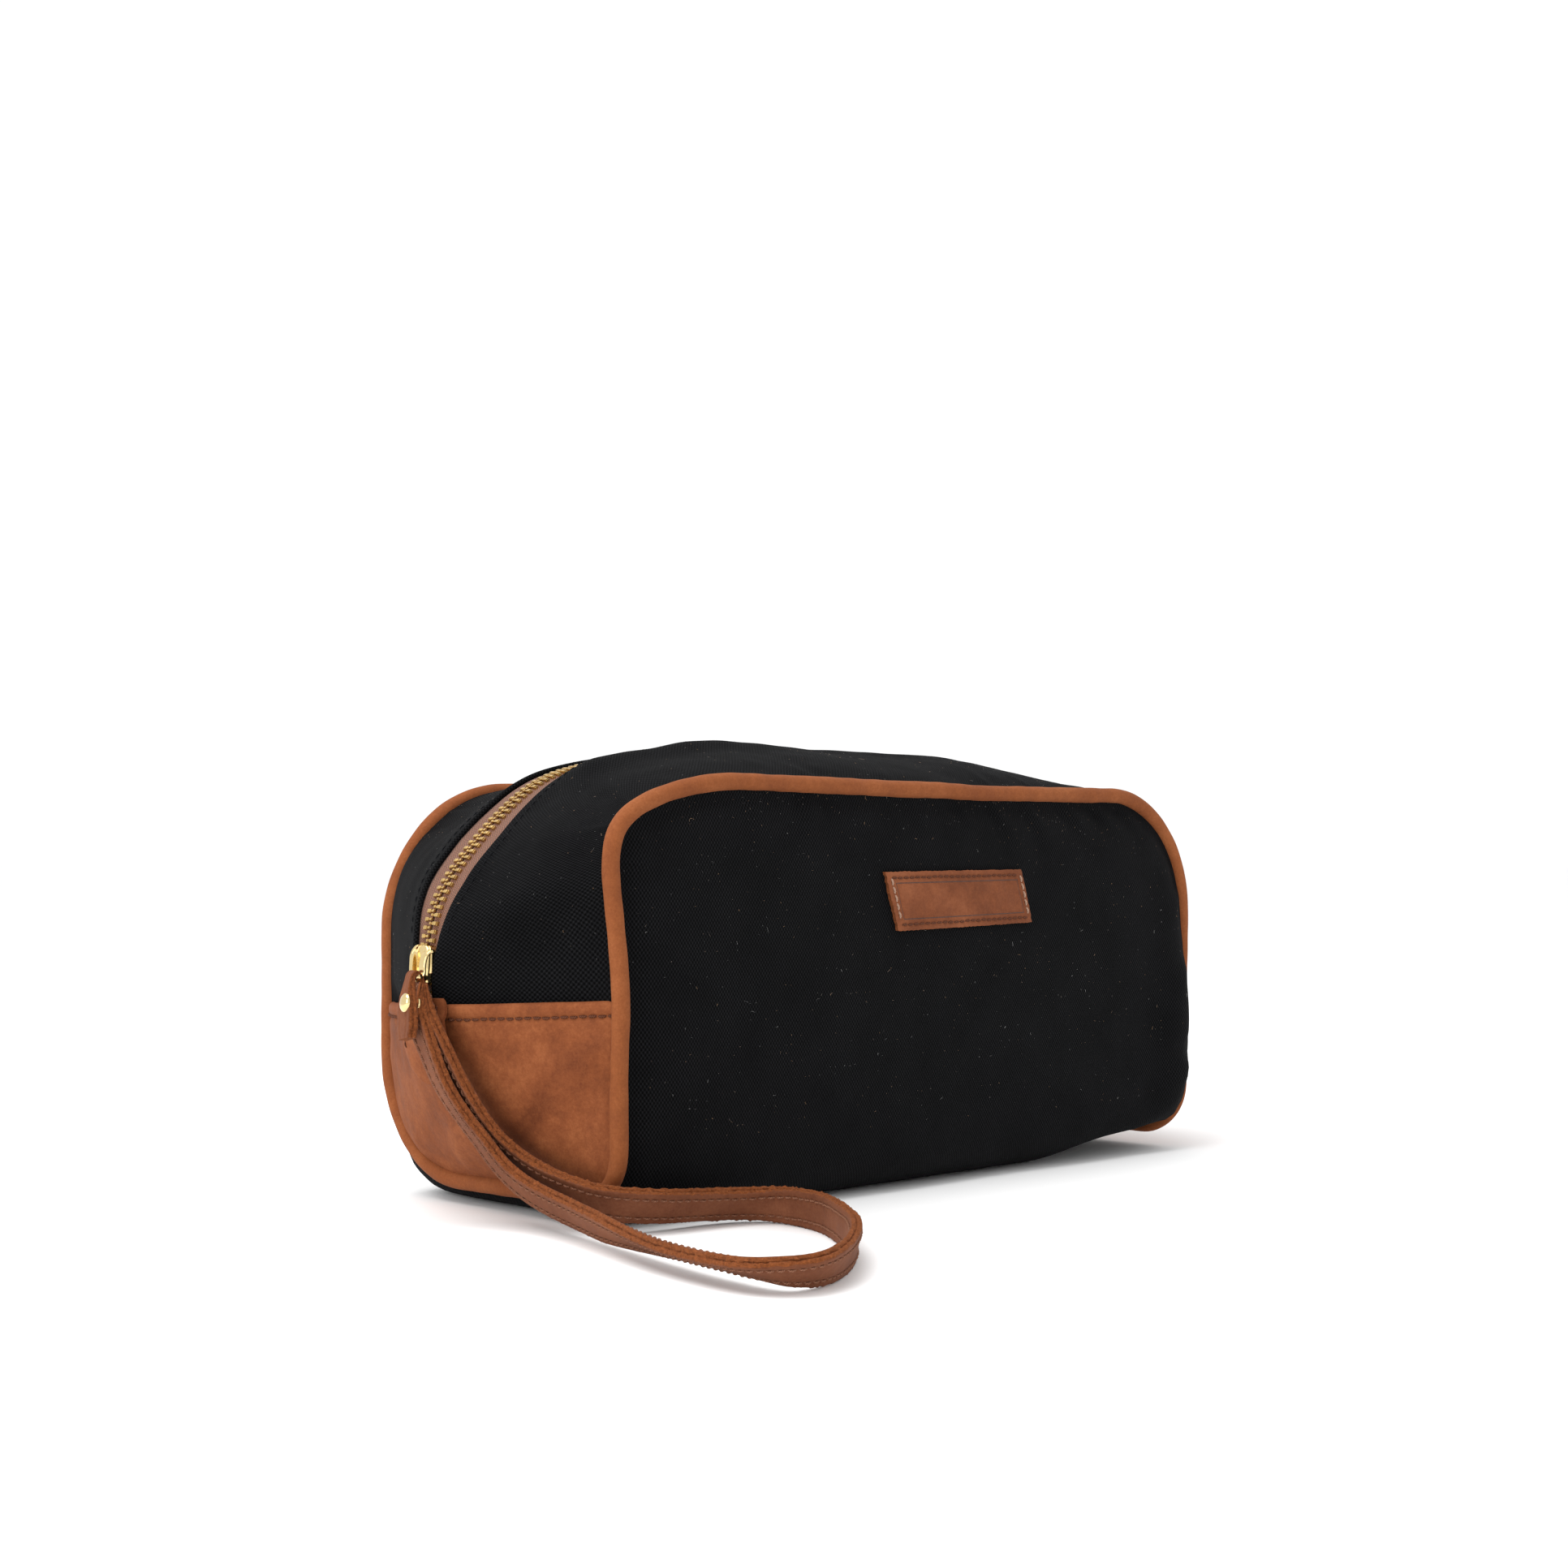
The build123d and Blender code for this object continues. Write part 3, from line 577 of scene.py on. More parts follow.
def tape_look():
    """Herringbone zip tape: twill ribs that turn every few threads, with painted shade in the rib grooves and
    painted highlights on the crests.
    """
    look = Look("zip_tape_weave", 0.8, Sheen_Weight=0.15, Specular_IOR_Level=0.3)
    u, v, flat = look.uv()
    turn = look.math("PINGPONG", v, 1.45e-3)
    rib = look.wave("SINE", look.math("ADD", u, turn), 0.78e-3)
    thread = look.wave("SINE", v, 0.42e-3)
    height = look.math("ADD", look.grey(rib, -1, 1), look.math("MULTIPLY", look.grey(thread, -1, 1), 0.25))
    uneven = look.noise(flat, 2200, 3)
    # painted light: the colour follows the ribs' height, darker in the grooves and lighter on the crests; the
    # unevenness is real variation of the yarn
    tone = look.math("MULTIPLY", height, look.grey(uneven, 0.3, 0.7, 0.6, 1.2))
    stops = [(0.05, (0.05, 0.018, 0.01)), (0.55, (0.15, 0.057, 0.028)), (1.0, (0.25, 0.1, 0.053))]
    look.colour(look.ramp(tone, stops))
    look.bump((height, 0.14e-3), (uneven, 0.03e-3))
    return look.material


def metal_look(name, colour, dark, roughness, wear):
    """Brass or gold plating with fine scratches and a little tarnish."""
    look = Look(name, roughness, Metallic=1.0)
    place = look.place()
    stain = look.noise(place, 260, 4)
    fine = look.noise(place, 1900, 3, 0.6)
    look.colour(look.mix(look.grey(stain, 0.42, 0.75, 0.0, wear), colour, dark))
    look.rough(look.grey(fine, 0.3, 0.75, roughness * 0.75, roughness * 1.5))
    look.bump((fine, 0.002e-3), (stain, 0.004e-3))
    return look.material


def lint_look():
    """Loose fibres of many pale colours."""
    look = Look("loose_fibres", 0.8)
    pick = look.noise(look.place(), 90, 1)
    stops = [(0.3, (0.36, 0.35, 0.34)), (0.45, (0.14, 0.14, 0.14)), (0.55, (0.34, 0.2, 0.1)),
             (0.62, (0.08, 0.09, 0.1)), (0.7, (0.24, 0.14, 0.08))]
    look.colour(look.ramp(pick, stops))
    look.bump((look.noise(look.place(), 6000, 2), 0.03e-3))
    return look.material


def deboss_look():
    """Pressed line, coloured a darker brown than the leather."""
    look = Look("debossed_line", 0.7)
    stops = [(0.3, (0.035, 0.014, 0.01)), (0.7, (0.09, 0.035, 0.02))]
    look.colour(look.ramp(look.noise(look.place(), 900, 3), stops))
    look.bump((look.noise(look.place(), 2500, 3), 0.05e-3))
    return look.material


# the first colour is the painted shade of the weave's gaps, the second the painted highlight of its crests
canvas = canvas_look("black_canvas", (0.0004, 0.0004, 0.0005), (0.0118, 0.0118, 0.013))
lining = canvas_look("lining_cotton", (0.012, 0.011, 0.01), (0.05, 0.047, 0.044), 0.3e-3, 0.3e-3, 0.05e-3)
trim = leather_look("trim_nubuck",
                    (0.15, 0.04, 0.013), (0.225, 0.068, 0.022), (0.31, 0.105, 0.038), 0.7)
panel_leather = leather_look("panel_nubuck",
                             (0.125, 0.034, 0.012), (0.2, 0.058, 0.02), (0.285, 0.094, 0.034), 1.2)
strap_leather = leather_look("strap_nubuck",
                             (0.1, 0.03, 0.013), (0.16, 0.055, 0.026), (0.22, 0.082, 0.04), 0.8)
label_leather = leather_look("label_nubuck",
                             (0.115, 0.034, 0.014), (0.18, 0.056, 0.023), (0.25, 0.085, 0.037))
raw_edge = suede_look("raw_edge", (0.08, 0.022, 0.008), (0.3, 0.09, 0.028))
panel_thread = thread_look("panel_thread", (0.05, 0.017, 0.009), (0.15, 0.055, 0.03))
strap_thread = thread_look("strap_thread", (0.12, 0.045, 0.025), (0.32, 0.15, 0.09))
# painted light: a paler copy of the label's thread, for its side rows where the stitches look lit
label_side_thread_lit = thread_look("label_side_thread_lit", (0.22, 0.12, 0.08), (0.5, 0.33, 0.24))
black_thread = thread_look("black_thread", (0.0015, 0.0016, 0.002), (0.01, 0.011, 0.013))
tape = tape_look()
zip_brass = metal_look("zip_brass", (0.62, 0.42, 0.16), (0.3, 0.17, 0.055), 0.3, 0.6)
gold = metal_look("pale_gold", (0.76, 0.59, 0.29), (0.6, 0.43, 0.18), 0.12, 0.3)
fibres = lint_look()
cord_cotton = thread_look("filler_cord", (0.5, 0.46, 0.38), (0.75, 0.7, 0.62))
debossed = deboss_look()


# ---------------------------------------------------------------- the bag's own lines

def seam_arcs():
    """Points of the seam loop's rounded corners in order; the slumped one's own curve comes second."""
    arcs = []
    count = len(SEAM_CORNERS)
    for k, (corner, radius) in enumerate(SEAM_CORNERS):
        if radius:
            arcs.append(corner_arc(SEAM_CORNERS[k - 1][0], corner, SEAM_CORNERS[(k + 1) % count][0], radius))
    arcs.insert(1, smooth_line(SLUMPED_CORNER).points)
    return arcs


ARCS = seam_arcs()
(FRONT_FOOT_L, FRONT_TOP_L, FRONT_DIP, FRONT_TOP_R, FRONT_FOOT_R,
 REAR_FOOT_R, REAR_TOP_R, REAR_TOP_L, REAR_FOOT_L) = ARCS
seam_loop = Line(np.vstack(ARCS + [ARCS[0][:1]]))
zip_line = smooth_line([(x, 0, z) for x, z in ZIP_LINE])


def on_top(x):
    """1 on the flat of the top, 0 at both ends."""
    return smooth((112 - np.abs(x)) / 60)


def zip_frame(share):
    """Place on the zip line with its outward normal and its direction."""
    point = zip_line.at(share)
    along = zip_line.tangent(share)
    outward = np.stack([-along[..., 2], np.zeros_like(along[..., 0]), along[..., 0]], -1)
    return point, outward, along


def zip_share(x, z):
    """Share of the zip line's length at the place nearest to x and z."""
    return zip_line.near((x, 0, z))


def profile_x(z, end):
    """How far out the zip line stands at a height below its widest place, at one end of the bag."""
    half = zip_line.cut(0, 0.3, 240) if end < 0 else zip_line.cut(1, 0.7, 240)
    keep = half.points[:, 2] < 72
    return np.interp(z, half.points[keep, 2], np.abs(half.points[keep, 0]))


def end_bow(y):
    """Cross-section of an end: 1 in the middle, 0 at the seams."""
    soft = 7.0
    span = math.hypot(SEAM_Y, soft) - soft
    return 1 - (np.clip((np.hypot(y, soft) - soft) / span, 0, 1)) ** 1.15


# ---------------------------------------------------------------- walls and base

FRONT_FOOT = 14.0         # height at which the front wall turns into the base
REAR_FOOT = 20.0
FRONT_BASE = 38.0         # how far the flat of the base reaches to the front and to the rear
REAR_BASE = 36.0
WALL_BULGE = 4.6


def wrap_grid():
    """Front wall, base and rear wall as one grid: rows from the front top seam round to the rear top seam."""
    near_seam = np.linspace(0, 0.07, 9)
    shares = np.concatenate([near_seam[:-1], np.linspace(0.07, 0.93, 110), np.linspace(0.93, 1, 9)[1:]])
    front_left = joined(FRONT_TOP_L[::-1], FRONT_FOOT_L[-1:])
    front_right = joined(FRONT_TOP_R, FRONT_FOOT_R[:1])
    rear_left = joined(REAR_FOOT_L[0:1], REAR_TOP_L[::-1])
    rear_right = joined(REAR_FOOT_R[-1:], REAR_TOP_R)
    under_left = joined(FRONT_FOOT_L[::-1], REAR_FOOT_L[::-1])
    under_right = joined(FRONT_FOOT_R, REAR_FOOT_R)
    foot_y = SEAM_Y + 3.0
    angle = np.linspace(0, math.pi / 2, 16)
    bend, sink = 1 - np.cos(angle), 1 - np.sin(angle)
    front_curve = np.stack([0 * angle, -foot_y + (foot_y - FRONT_BASE) * bend, FRONT_FOOT * sink], -1)
    rear_curve = np.stack([0 * angle, foot_y - (foot_y - REAR_BASE) * bend, REAR_FOOT * sink], -1)[::-1]
    under_middle = joined(front_curve, rear_curve)

    def wall(left, right, side, rows):
        front = side < 0
        v = np.linspace(0, 1, rows)
        l, r = left.at(v)[:, None], right.at(v)[:, None]
        c = shares[None, :, None]
        chord = l * (1 - c) + r * c
        x, z = chord[..., 0], chord[..., 2]
        foot_z = FRONT_FOOT if front else REAR_FOOT
        if front:
            top_row = joined(FRONT_TOP_L[-1:], FRONT_DIP, FRONT_TOP_R[:1])
            z = z + (top_row.at(shares)[None, :, 2] - chord[:1, :, 2]) * (1 - v[:, None]) ** 3
        top, foot = (chord[0, :, 2], chord[-1, :, 2]) if front else (chord[-1, :, 2], chord[0, :, 2])
        gap = np.minimum(x - l[..., 0], r[..., 0] - x)
        inside = smooth(gap / 30.0)
        middle_z = foot_z + (z - foot) * (top - foot_z) / (top - foot)
        z = z + (middle_z - z) * inside
        rise = np.clip((125 - z) / 55.0, 0, 1)
        low = np.clip((z - foot_z) / 45.0, 0, 1)
        right_side = smooth(x / 90.0)
        body = (1 - (1 - rise) ** 2) * (0.65 + 0.35 * (1 - (1 - low) ** 2))
        edge = 1 - (1 - np.clip(gap / (32.0 - 16.0 * right_side), 0, 1)) ** 2.2
        bulge = WALL_BULGE * body * edge * (1 + 0.3 * right_side * (1 - low * 0.5))
        foot_out = 3.0 * edge * (1 - low)
        y = side * (SEAM_Y + np.maximum(bulge, foot_out))
        return np.stack([x, y, z], -1)

    front = wall(front_left, front_right, -1, 64)
    rear = wall(rear_left, rear_right, 1, 52)
    v = np.linspace(0, 1, 64)
    l, r, m = under_left.at(v)[:, None], under_right.at(v)[:, None], under_middle.at(v)[:, None]
    x = (l * (1 - shares[None, :, None]) + r * shares[None, :, None])[..., 0]
    left_gap, right_gap = x - l[..., 0], r[..., 0] - x

    def turn_up(gap, radius, power=0.5):
        return (1 - (1 - np.clip(gap / radius, 0, 1)) ** 2) ** power

    near_left = left_gap < right_gap
    end = np.where(near_left[..., None], l, r)
    share = np.where(near_left, turn_up(left_gap, 13.0), turn_up(right_gap, 64.0, 1.05))
    under = end + (m - end) * share[..., None]
    under[..., 0] = x
    # the base is held up a little at the front right by the stiff seam
    held_up = 3.6 * smooth((x - 58) / 34) * smooth((130 - x) / 12)
    under[..., 2] += held_up * smooth(v[:, None] / 0.15) * smooth((0.75 - v[:, None]) / 0.3)
    # the wall's last row and the base's first row are the same row
    blend_in = (1 - smooth(v / 0.14))[:, None, None]
    under = under + (front[-1] - under[0])[None] * blend_in
    blend_out = smooth((v - 0.86) / 0.14)[:, None, None]
    under = under + (rear[0] - under[-1])[None] * blend_out
    under[..., 2] = np.maximum(under[..., 2], 0.0)
    return np.concatenate([front, under[1:-1], rear]), len(front)


def front_folds(x, z):
    """Soft folds of the front wall, drawn in from the seams."""
    total = 0.5 * ripple(x, z, 62, 3) * smooth((125 - z) / 25) * smooth((134 - np.abs(x)) / 25)
    total += 0.12 * ripple(x, z, 17, 5) * smooth((132 - np.abs(x)) / 10)
    # each fold: where it starts, where it dies out, its width and its height
    folds = [
        (24, 126, 46, 98, 3.2, 0.9), (41, 126, 62, 101, 3.0, 1.0), (60, 126, 82, 108, 2.8, 1.2),
        (76, 126, 98, 110, 2.6, 1.1), (93, 126, 112, 108, 2.6, 0.8), (-58, 126, -60, 92, 4.5, 0.8),
        (-84, 126, -76, 104, 3.4, 0.45), (-14, 126, -4, 106, 3.6, 0.45), (8, 126, 20, 106, 3.0, 0.5),
        (-136, 101, -112, 104, 2.6, 0.9), (-134, 78, -112, 82, 3.0, 0.35), (-134, 48, -114, 52, 3.4, 0.3),
        (134, 92, 108, 80, 3.6, 0.7), (134, 66, 112, 60, 4.0, 0.6), (136, 34, 104, 16, 5.0, 1.5),
        (132, 14, 96, 8, 5.0, 1.0), (-132, 20, -108, 34, 4.4, 0.6), (-80, 4, -74, 30, 5.0, 0.5),
    ]
    for *ends, width, height in folds:
        total = total + crease(x, z, ends[:2], ends[2:], width, height)
    return total


def shaped_wrap():
    """The wrap with its folds: points, normals, place on the cloth, and how many rows the front has."""
    grid, front_rows = wrap_grid()
    n = normals(grid, (0, 0, -1))
    x, y, z = grid[..., 0], grid[..., 1], grid[..., 2]
    front_part = smooth((-y - 50) / 4)
    rear_part = smooth((y - 50) / 4)
    away = distances(grid, seam_loop.cut(0, 1, 900))
    hold = smooth(away / 7.0)
    low = smooth(z / 12.0)
    lift = front_part * front_folds(x, z) * low * hold
    lift += rear_part * (0.7 * ripple(x, z, 58, 11) + 0.15 * ripple(x, z, 18, 12)) * low * hold
    for k in range(9):
        at = -112 + 28 * k
        height = 0.5 + 0.4 * math.sin(1.7 * k)
        lift += rear_part * hold * crease(x, z, (at, 127), (at + 16 * math.sin(2.3 * k), 96), 3.4, height)
    # cloth dips a little where the piping's stitching holds it
    lift -= 0.9 * bell(away - 4.5, 3.0) * low
    # slack cloth hanging over the piping at the lower right
    lift += 4.6 * np.exp(-((x - 125) / 12.0) ** 2 - ((z - 46) / 30.0) ** 2) * front_part
    lift += 1.3 * np.exp(-((x - 124) / 12.0) ** 2 - ((z - 16) / 12.0) ** 2) * front_part
    grid = grid + n * lift[..., None]
    grid[..., 2] = np.maximum(grid[..., 2], 0.05)
    n = normals(grid, (0, 0, -1))
    steps = np.linalg.norm(np.diff(grid, axis=0), axis=-1)
    run = np.cumsum(np.concatenate([np.zeros((1, grid.shape[1])), steps]), 0)
    foot = run[front_rows - 1]
    v = np.where(np.arange(len(grid))[:, None] < front_rows, -z, -z[front_rows - 1] + run - foot)
    uv = np.stack([x, v], -1)
    return grid, n, uv, front_rows


wrap, wrap_normal, wrap_uv, front_rows = shaped_wrap()


def make_wrap():
    """Canvas of the walls and the base, and its lining."""
    front = slice(6, front_rows - 2)
    rear = slice(-50, -6)
    parts = [grid_part(wrap, wrap_normal, WRAP_THICK, wrap_uv),
             lint(wrap[front], wrap_normal[front], 900, 1, 21),
             lint(wrap[rear], wrap_normal[rear], 300, 1, 22)]
    stands_in(make_object("wrap_canvas", parts, [canvas, fibres]), "canvas", "wrap_panel", body="bag")
    inner = wrap - wrap_normal * WRAP_LINING
    inner[..., 2] = np.maximum(inner[..., 2], 1.4)
    inside = make_object("wrap_lining_cloth", [grid_part(inner, wrap_normal, 0.4, wrap_uv)], [lining])
    stands_in(inside, "lining", "wrap_lining", body="bag")


# ---------------------------------------------------------------- top and ends: canvas beside the zip

def gusset_lines(side):
    """Seam line and zip line of one half, matched point for point from the left end over to the right."""
    if side < 0:
        seam = joined(FRONT_FOOT_L[-1:], FRONT_TOP_L, FRONT_DIP, FRONT_TOP_R, FRONT_FOOT_R[:1])
        pairs = [(-158, 57, -132.8, 58), (-157.6, 83, -136, 97), (-148, 101.5, -136, 109),
                 (-112, 128.8, -125, 117.5), (-80, 135, -88, 125), (0, 138.4, 0, 124.4), (80, 134.8, 74, 125),
                 (120, 126.2, 108, 123), (147, 106, 127, 106), (157.8, 83, 134, 84), (158, 57, 134, 58)]
    else:
        seam = joined(REAR_FOOT_L[0:1], REAR_TOP_L[::-1], REAR_TOP_R[::-1], REAR_FOOT_R[-1:])
        pairs = [(-158, 57, -134, 56), (-157.8, 83, -133, 82), (-146, 104, -125.4, 106.5),
                 (-112, 128.8, -107, 120.6), (-80, 135, -78, 125), (0, 138.4, 0, 125), (80, 134.8, 78, 125),
                 (112, 129, 104, 124.4), (146, 107, 127, 110), (157.8, 83, 134, 86), (158, 57, 134, 56)]
    dense = seam.cut(0, 1, 1200)
    # x and z on the zip line, and on the seam, of places that belong together
    zips = np.array([zip_share(x, z) for x, z, _, _ in pairs])
    seams = np.array([dense.near((x, side * SEAM_Y, z)) for _, _, x, z in pairs])
    q = np.linspace(0, 1, 241)
    place = (zips - zips[0]) / (zips[-1] - zips[0])
    z_share = zips[0] + q * (zips[-1] - zips[0])
    s_share = np.interp(q, place, seams)
    kernel = np.hanning(17)
    kernel /= kernel.sum()
    padded = np.concatenate([2 * s_share[0] - s_share[8:0:-1], s_share, 2 * s_share[-1] - s_share[-2:-10:-1]])
    s_share = np.convolve(padded, kernel, mode="valid")
    return dense.at(s_share), z_share


def opening_half(z_share):
    """Half the width between the folded canvas edges, narrow at the slider and wide above it."""
    stops = [(-158, 57, 5.0), (-159, 68, 4.6), (-158, 82, 6.4), (-152, 96, 9.6), (-140, 109.4, 10.4),
             (-116, 127, 9.0), (-60, 136.8, 6.4), (60, 136.6, 6.2), (140, 113.5, 6.4), (158, 82, 6.0),
             (158, 57, 6.0)]
    places = [zip_share(x, z) for x, z, _ in stops]
    return np.interp(z_share, places, [w for _, _, w in stops])


def half_grid(side):
    """Outer face of one canvas half: rows along the zip, columns from the seam to the folded edge."""
    seam, z_share = gusset_lines(side)
    point, outward, _ = zip_frame(z_share)
    width = opening_half(z_share)
    edge = point + outward * CANVAS_RISE + np.array([0, side, 0]) * width[:, None]
    t = np.concatenate([np.linspace(0, 0.12, 6)[:-1], np.linspace(0.12, 0.97, 26), [0.985, 1.0]])
    grid = seam[:, None] * (1 - t[None, :, None]) + edge[:, None] * t[None, :, None]
    n = normals(grid, (0, 0, 1))
    x, z = point[:, None, 0], point[:, None, 2]
    top_part = on_top(x)
    arch = np.sin(math.pi * t[None] ** 0.9)
    lift = arch * (3.9 * top_part + 1.2 * (1 - top_part))
    if side > 0:
        # the rear half sags towards its left corner
        lift -= 3.4 * arch * smooth((-x - 50) / 30) * smooth((152 + x) / 24)
    else:
        # the front half is full beside the zip where the top begins
        full = smooth((x + 122) / 16) * smooth((-20 - x) / 50)
        lift += 2.8 * bell(t[None] - 0.84, 0.14) * full
    # fullness beside the zip makes it lie in a shallow valley
    lift += 0.7 * bell(t[None] - 0.84, 0.09) * top_part
    left_end = smooth((-x - 60) / 30) if side < 0 else 0 * x
    q = np.linspace(0, 1, len(grid))[:, None]
    ridge_q = q[np.argmin(np.abs(z_share - zip_share(-157.4, 84)))][0]
    # a ridge runs across the front half where the left end turns into the top, with a hollow below it
    ridge, hollow = bell(q - ridge_q, 0.018), bell(q - ridge_q + 0.032, 0.022)
    lift += left_end * 1.7 * ridge * np.sin(math.pi * np.clip(t[None], 0.05, 1)) ** 0.5
    lift -= left_end * 2.6 * hollow * np.sin(math.pi * t[None])
    run = q * 420
    wide = t[None] * 52
    hold = smooth(t[None] / 0.16) * smooth((1 - t[None]) / 0.1)
    lift += hold * (0.5 * ripple(run, wide, 46, 31 + side) + 0.13 * ripple(run, wide, 15, 41 + side))
    for k in range(13):
        at = 60 + 26 * k
        height = 0.35 + 0.3 * math.sin(1.9 * k)
        lift += hold * crease(run, wide, (at, -2), (at + 12 * math.sin(2.9 * k + side), 30), 3.0, height)
    # it goes in behind the end panel's top edge
    lift -= 1.9 * smooth((68 - z) / 8) * smooth(t[None] / 0.2) * smooth((1.04 - t[None]) / 0.12)
    lift *= smooth(t[None] / 0.06 + 0.15)
    grid = grid + n * lift[..., None]
    n = normals(grid, (0, 0, 1))
    length = np.cumsum(np.concatenate([[0], np.linalg.norm(np.diff(point, axis=0), axis=1)]))
    return grid, n, length


def split_half(grid):
    """Row numbers of the left and right pieces, which meet in the middle of the top."""
    middle = len(grid) // 2
    return {"left": slice(0, middle + 1), "right": slice(middle, len(grid))}


def flap_blend(piece):
    """Bakes the piece's placement into its mesh."""
    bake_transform(piece)


def row_inside(grid, n, inset):
    """Row of points at a distance in from the last column of a grid, with normals."""
    back = np.linalg.norm(np.diff(grid, axis=1), axis=-1)[:, ::-1].cumsum(1)
    row, up = [], []
    for k, lengths in enumerate(back):
        j = int(np.searchsorted(lengths, inset))
        before = lengths[j - 1] if j else 0
        share = (inset - before) / max(lengths[j] - before, 1e-6)
        row.append(grid[k, -1 - j] * (1 - share) + grid[k, -2 - j] * share)
        up.append(n[k, -2 - j])
    return np.array(row), np.array(up)


def make_half(side):
    """Canvas between the seam and the zip, with its stitch row, and its lining."""
    name = "front" if side < 0 else "rear"
    grid, n, length = half_grid(side)
    folded = fold_edge(grid, n)
    steps = np.linalg.norm(np.diff(folded, axis=1), axis=-1)
    across = np.cumsum(np.concatenate([np.zeros((len(grid), 1)), steps], 1), 1)
    uv = np.stack([np.broadcast_to(length[:, None], across.shape), across], -1)
    folded_normal = normals(folded, (0, 0, 1))
    for end, rows in split_half(grid).items():
        cloth = grid_part(folded[rows], folded_normal[rows], CANVAS_THICK, uv[rows])
        row, up = row_inside(grid[rows], n[rows], 2.9)
        shown = slice(14, None) if end == "left" else slice(0, -14)
        sewn = stitches(row[shown], up[shown], pitch=3.1, length=2.2, radius=0.2, lift=0.02)
        seed = 60 + side + (5 if end == "left" else 0)
        fluff = lint(grid[rows][3:-3, 2:-1], n[rows][3:-3, 2:-1], 170, 2, seed)
        piece = make_object(f"{name}_canvas_{end}", [cloth, sewn, fluff], [canvas, black_thread, fibres])
        stands_in(piece, "canvas", f"{name}_gusset_{end}", f"{name}_gusset_middle")
        flap_blend(piece)
        inner = grid_part(grid[rows] - n[rows] * CANVAS_LINING, n[rows], 0.3, uv[rows][:, :grid.shape[1]])
        backing = make_object(f"{name}_lining_{end}", [inner], [lining])
        stands_in(backing, "lining", f"{name}_gusset_lining_{end}", f"{name}_gusset_lining_middle")
        flap_blend(backing)


# ---------------------------------------------------------------- zip

def tooth_parts():
    """One tooth in its own axes: out of the bag, across towards the middle, along the zip."""
    body = block_part((1.9, 1.7, 1.1), (-1.0, 1.95, 0), 0.22)
    foot = block_part((1.5, 0.5, 1.3), (-1.15, 2.8, 0), 0.18)
    neck = block_part((1.4, 1.5, 0.66), (-0.9, 0.6, 0), 0.16)
    nib = block_part((0.9, 0.85, 0.85), (-0.45, 0.05, 0), 0.26)
    return join_parts([body, foot, neck, nib])


def make_zip(side):
    """Tape and teeth of one half of the zip."""
    name = "front" if side < 0 else "rear"
    across = np.array([0, side, 0])
    first, last = zip_share(-158.4, 62), zip_share(158.4, 62)
    shares = np.linspace(first, last, 361)
    point, outward, _ = zip_frame(shares)
    width = opening_half(shares)[:, None]
    fixed = np.array([0.35, 0.9, 1.5, 2.1, 2.8])[None]
    spread = 2.8 + np.array([0.25, 0.5, 0.75, 1.0])[None] * (np.minimum(width + 3.2, TAPE_REACH) - 2.8)
    reach = np.concatenate([np.broadcast_to(fixed, (len(shares), 5)), spread], 1)
    sink = (0.12 + 0.45 * (1 - on_top(point[:, :1]))) * np.maximum(reach - width + 0.6, 0)
    # the tape's outer corners go well in behind the canvas, just above the leather end
    sink = sink + 1.8 * smooth((70 - point[:, 2:]) / 6) * smooth((reach - width) / 3)
    lift = -TAPE_DEPTH + 0.35 * bell(reach - 1.2, 0.9) - sink
    grid = point[:, None] + across * reach[..., None] + outward[:, None] * lift[..., None]
    length = (shares - first) * zip_line.length
    uv = np.stack(np.broadcast_arrays(length[:, None], reach), -1)
    n = np.broadcast_to(outward[:, None], grid.shape)
    tooth = tooth_parts()
    teeth = {"left": [], "right": []}
    at = TOOTH_PITCH * (1.0 if side < 0 else 1.5)
    total = (last - first) * zip_line.length
    while at < total - TOOTH_PITCH:
        p, out, go = zip_frame(first + at / zip_line.length)
        teeth["left" if p[0] < 0 else "right"].append(placed(tooth, p, [out, across, go]))
        at += TOOTH_PITCH
    for end, rows in split_half(grid).items():
        woven = grid_part(grid[rows], n[rows], CANVAS_THICK, uv[rows])
        strip = make_object(f"{name}_tape_{end}", [woven], [tape])
        stands_in(strip, "zip_tape", f"{name}_zip_tape_{end}", f"{name}_zip_tape_middle")
        flap_blend(strip)
        row = make_object(f"{name}_teeth_{end}", [join_parts(teeth[end])], [zip_brass], sharp=50)
        stands_in(row, "zip_brass", f"{name}_zip_teeth_{end}", f"{name}_zip_teeth_middle")
        flap_blend(row)


def make_stops():
    """Metal stops across the tape at both ends of the chain."""
    for name, x in (("zip_top_stops", -158.3), ("zip_bottom_stop", 158.3)):
        p, out, go = zip_frame(zip_share(x, 60.5))
        blocks = [block_part((2.0, 2.3, 2.4), (-1.3, s * 1.7, 0), 0.3) for s in (-1, 1)]
        whole = join_parts([placed(block, p, [out, np.array([0, 1.0, 0]), go]) for block in blocks])
        stands_in(make_object(name + "_metal", [whole], [zip_brass], sharp=50), "zip_brass", name, body="bag")


# ---------------------------------------------------------------- leather end panels, tabs and piping

PANEL_TOP_FRONT = 62.6    # heights of the end panels' top corners
PANEL_TOP_REAR = 57.6


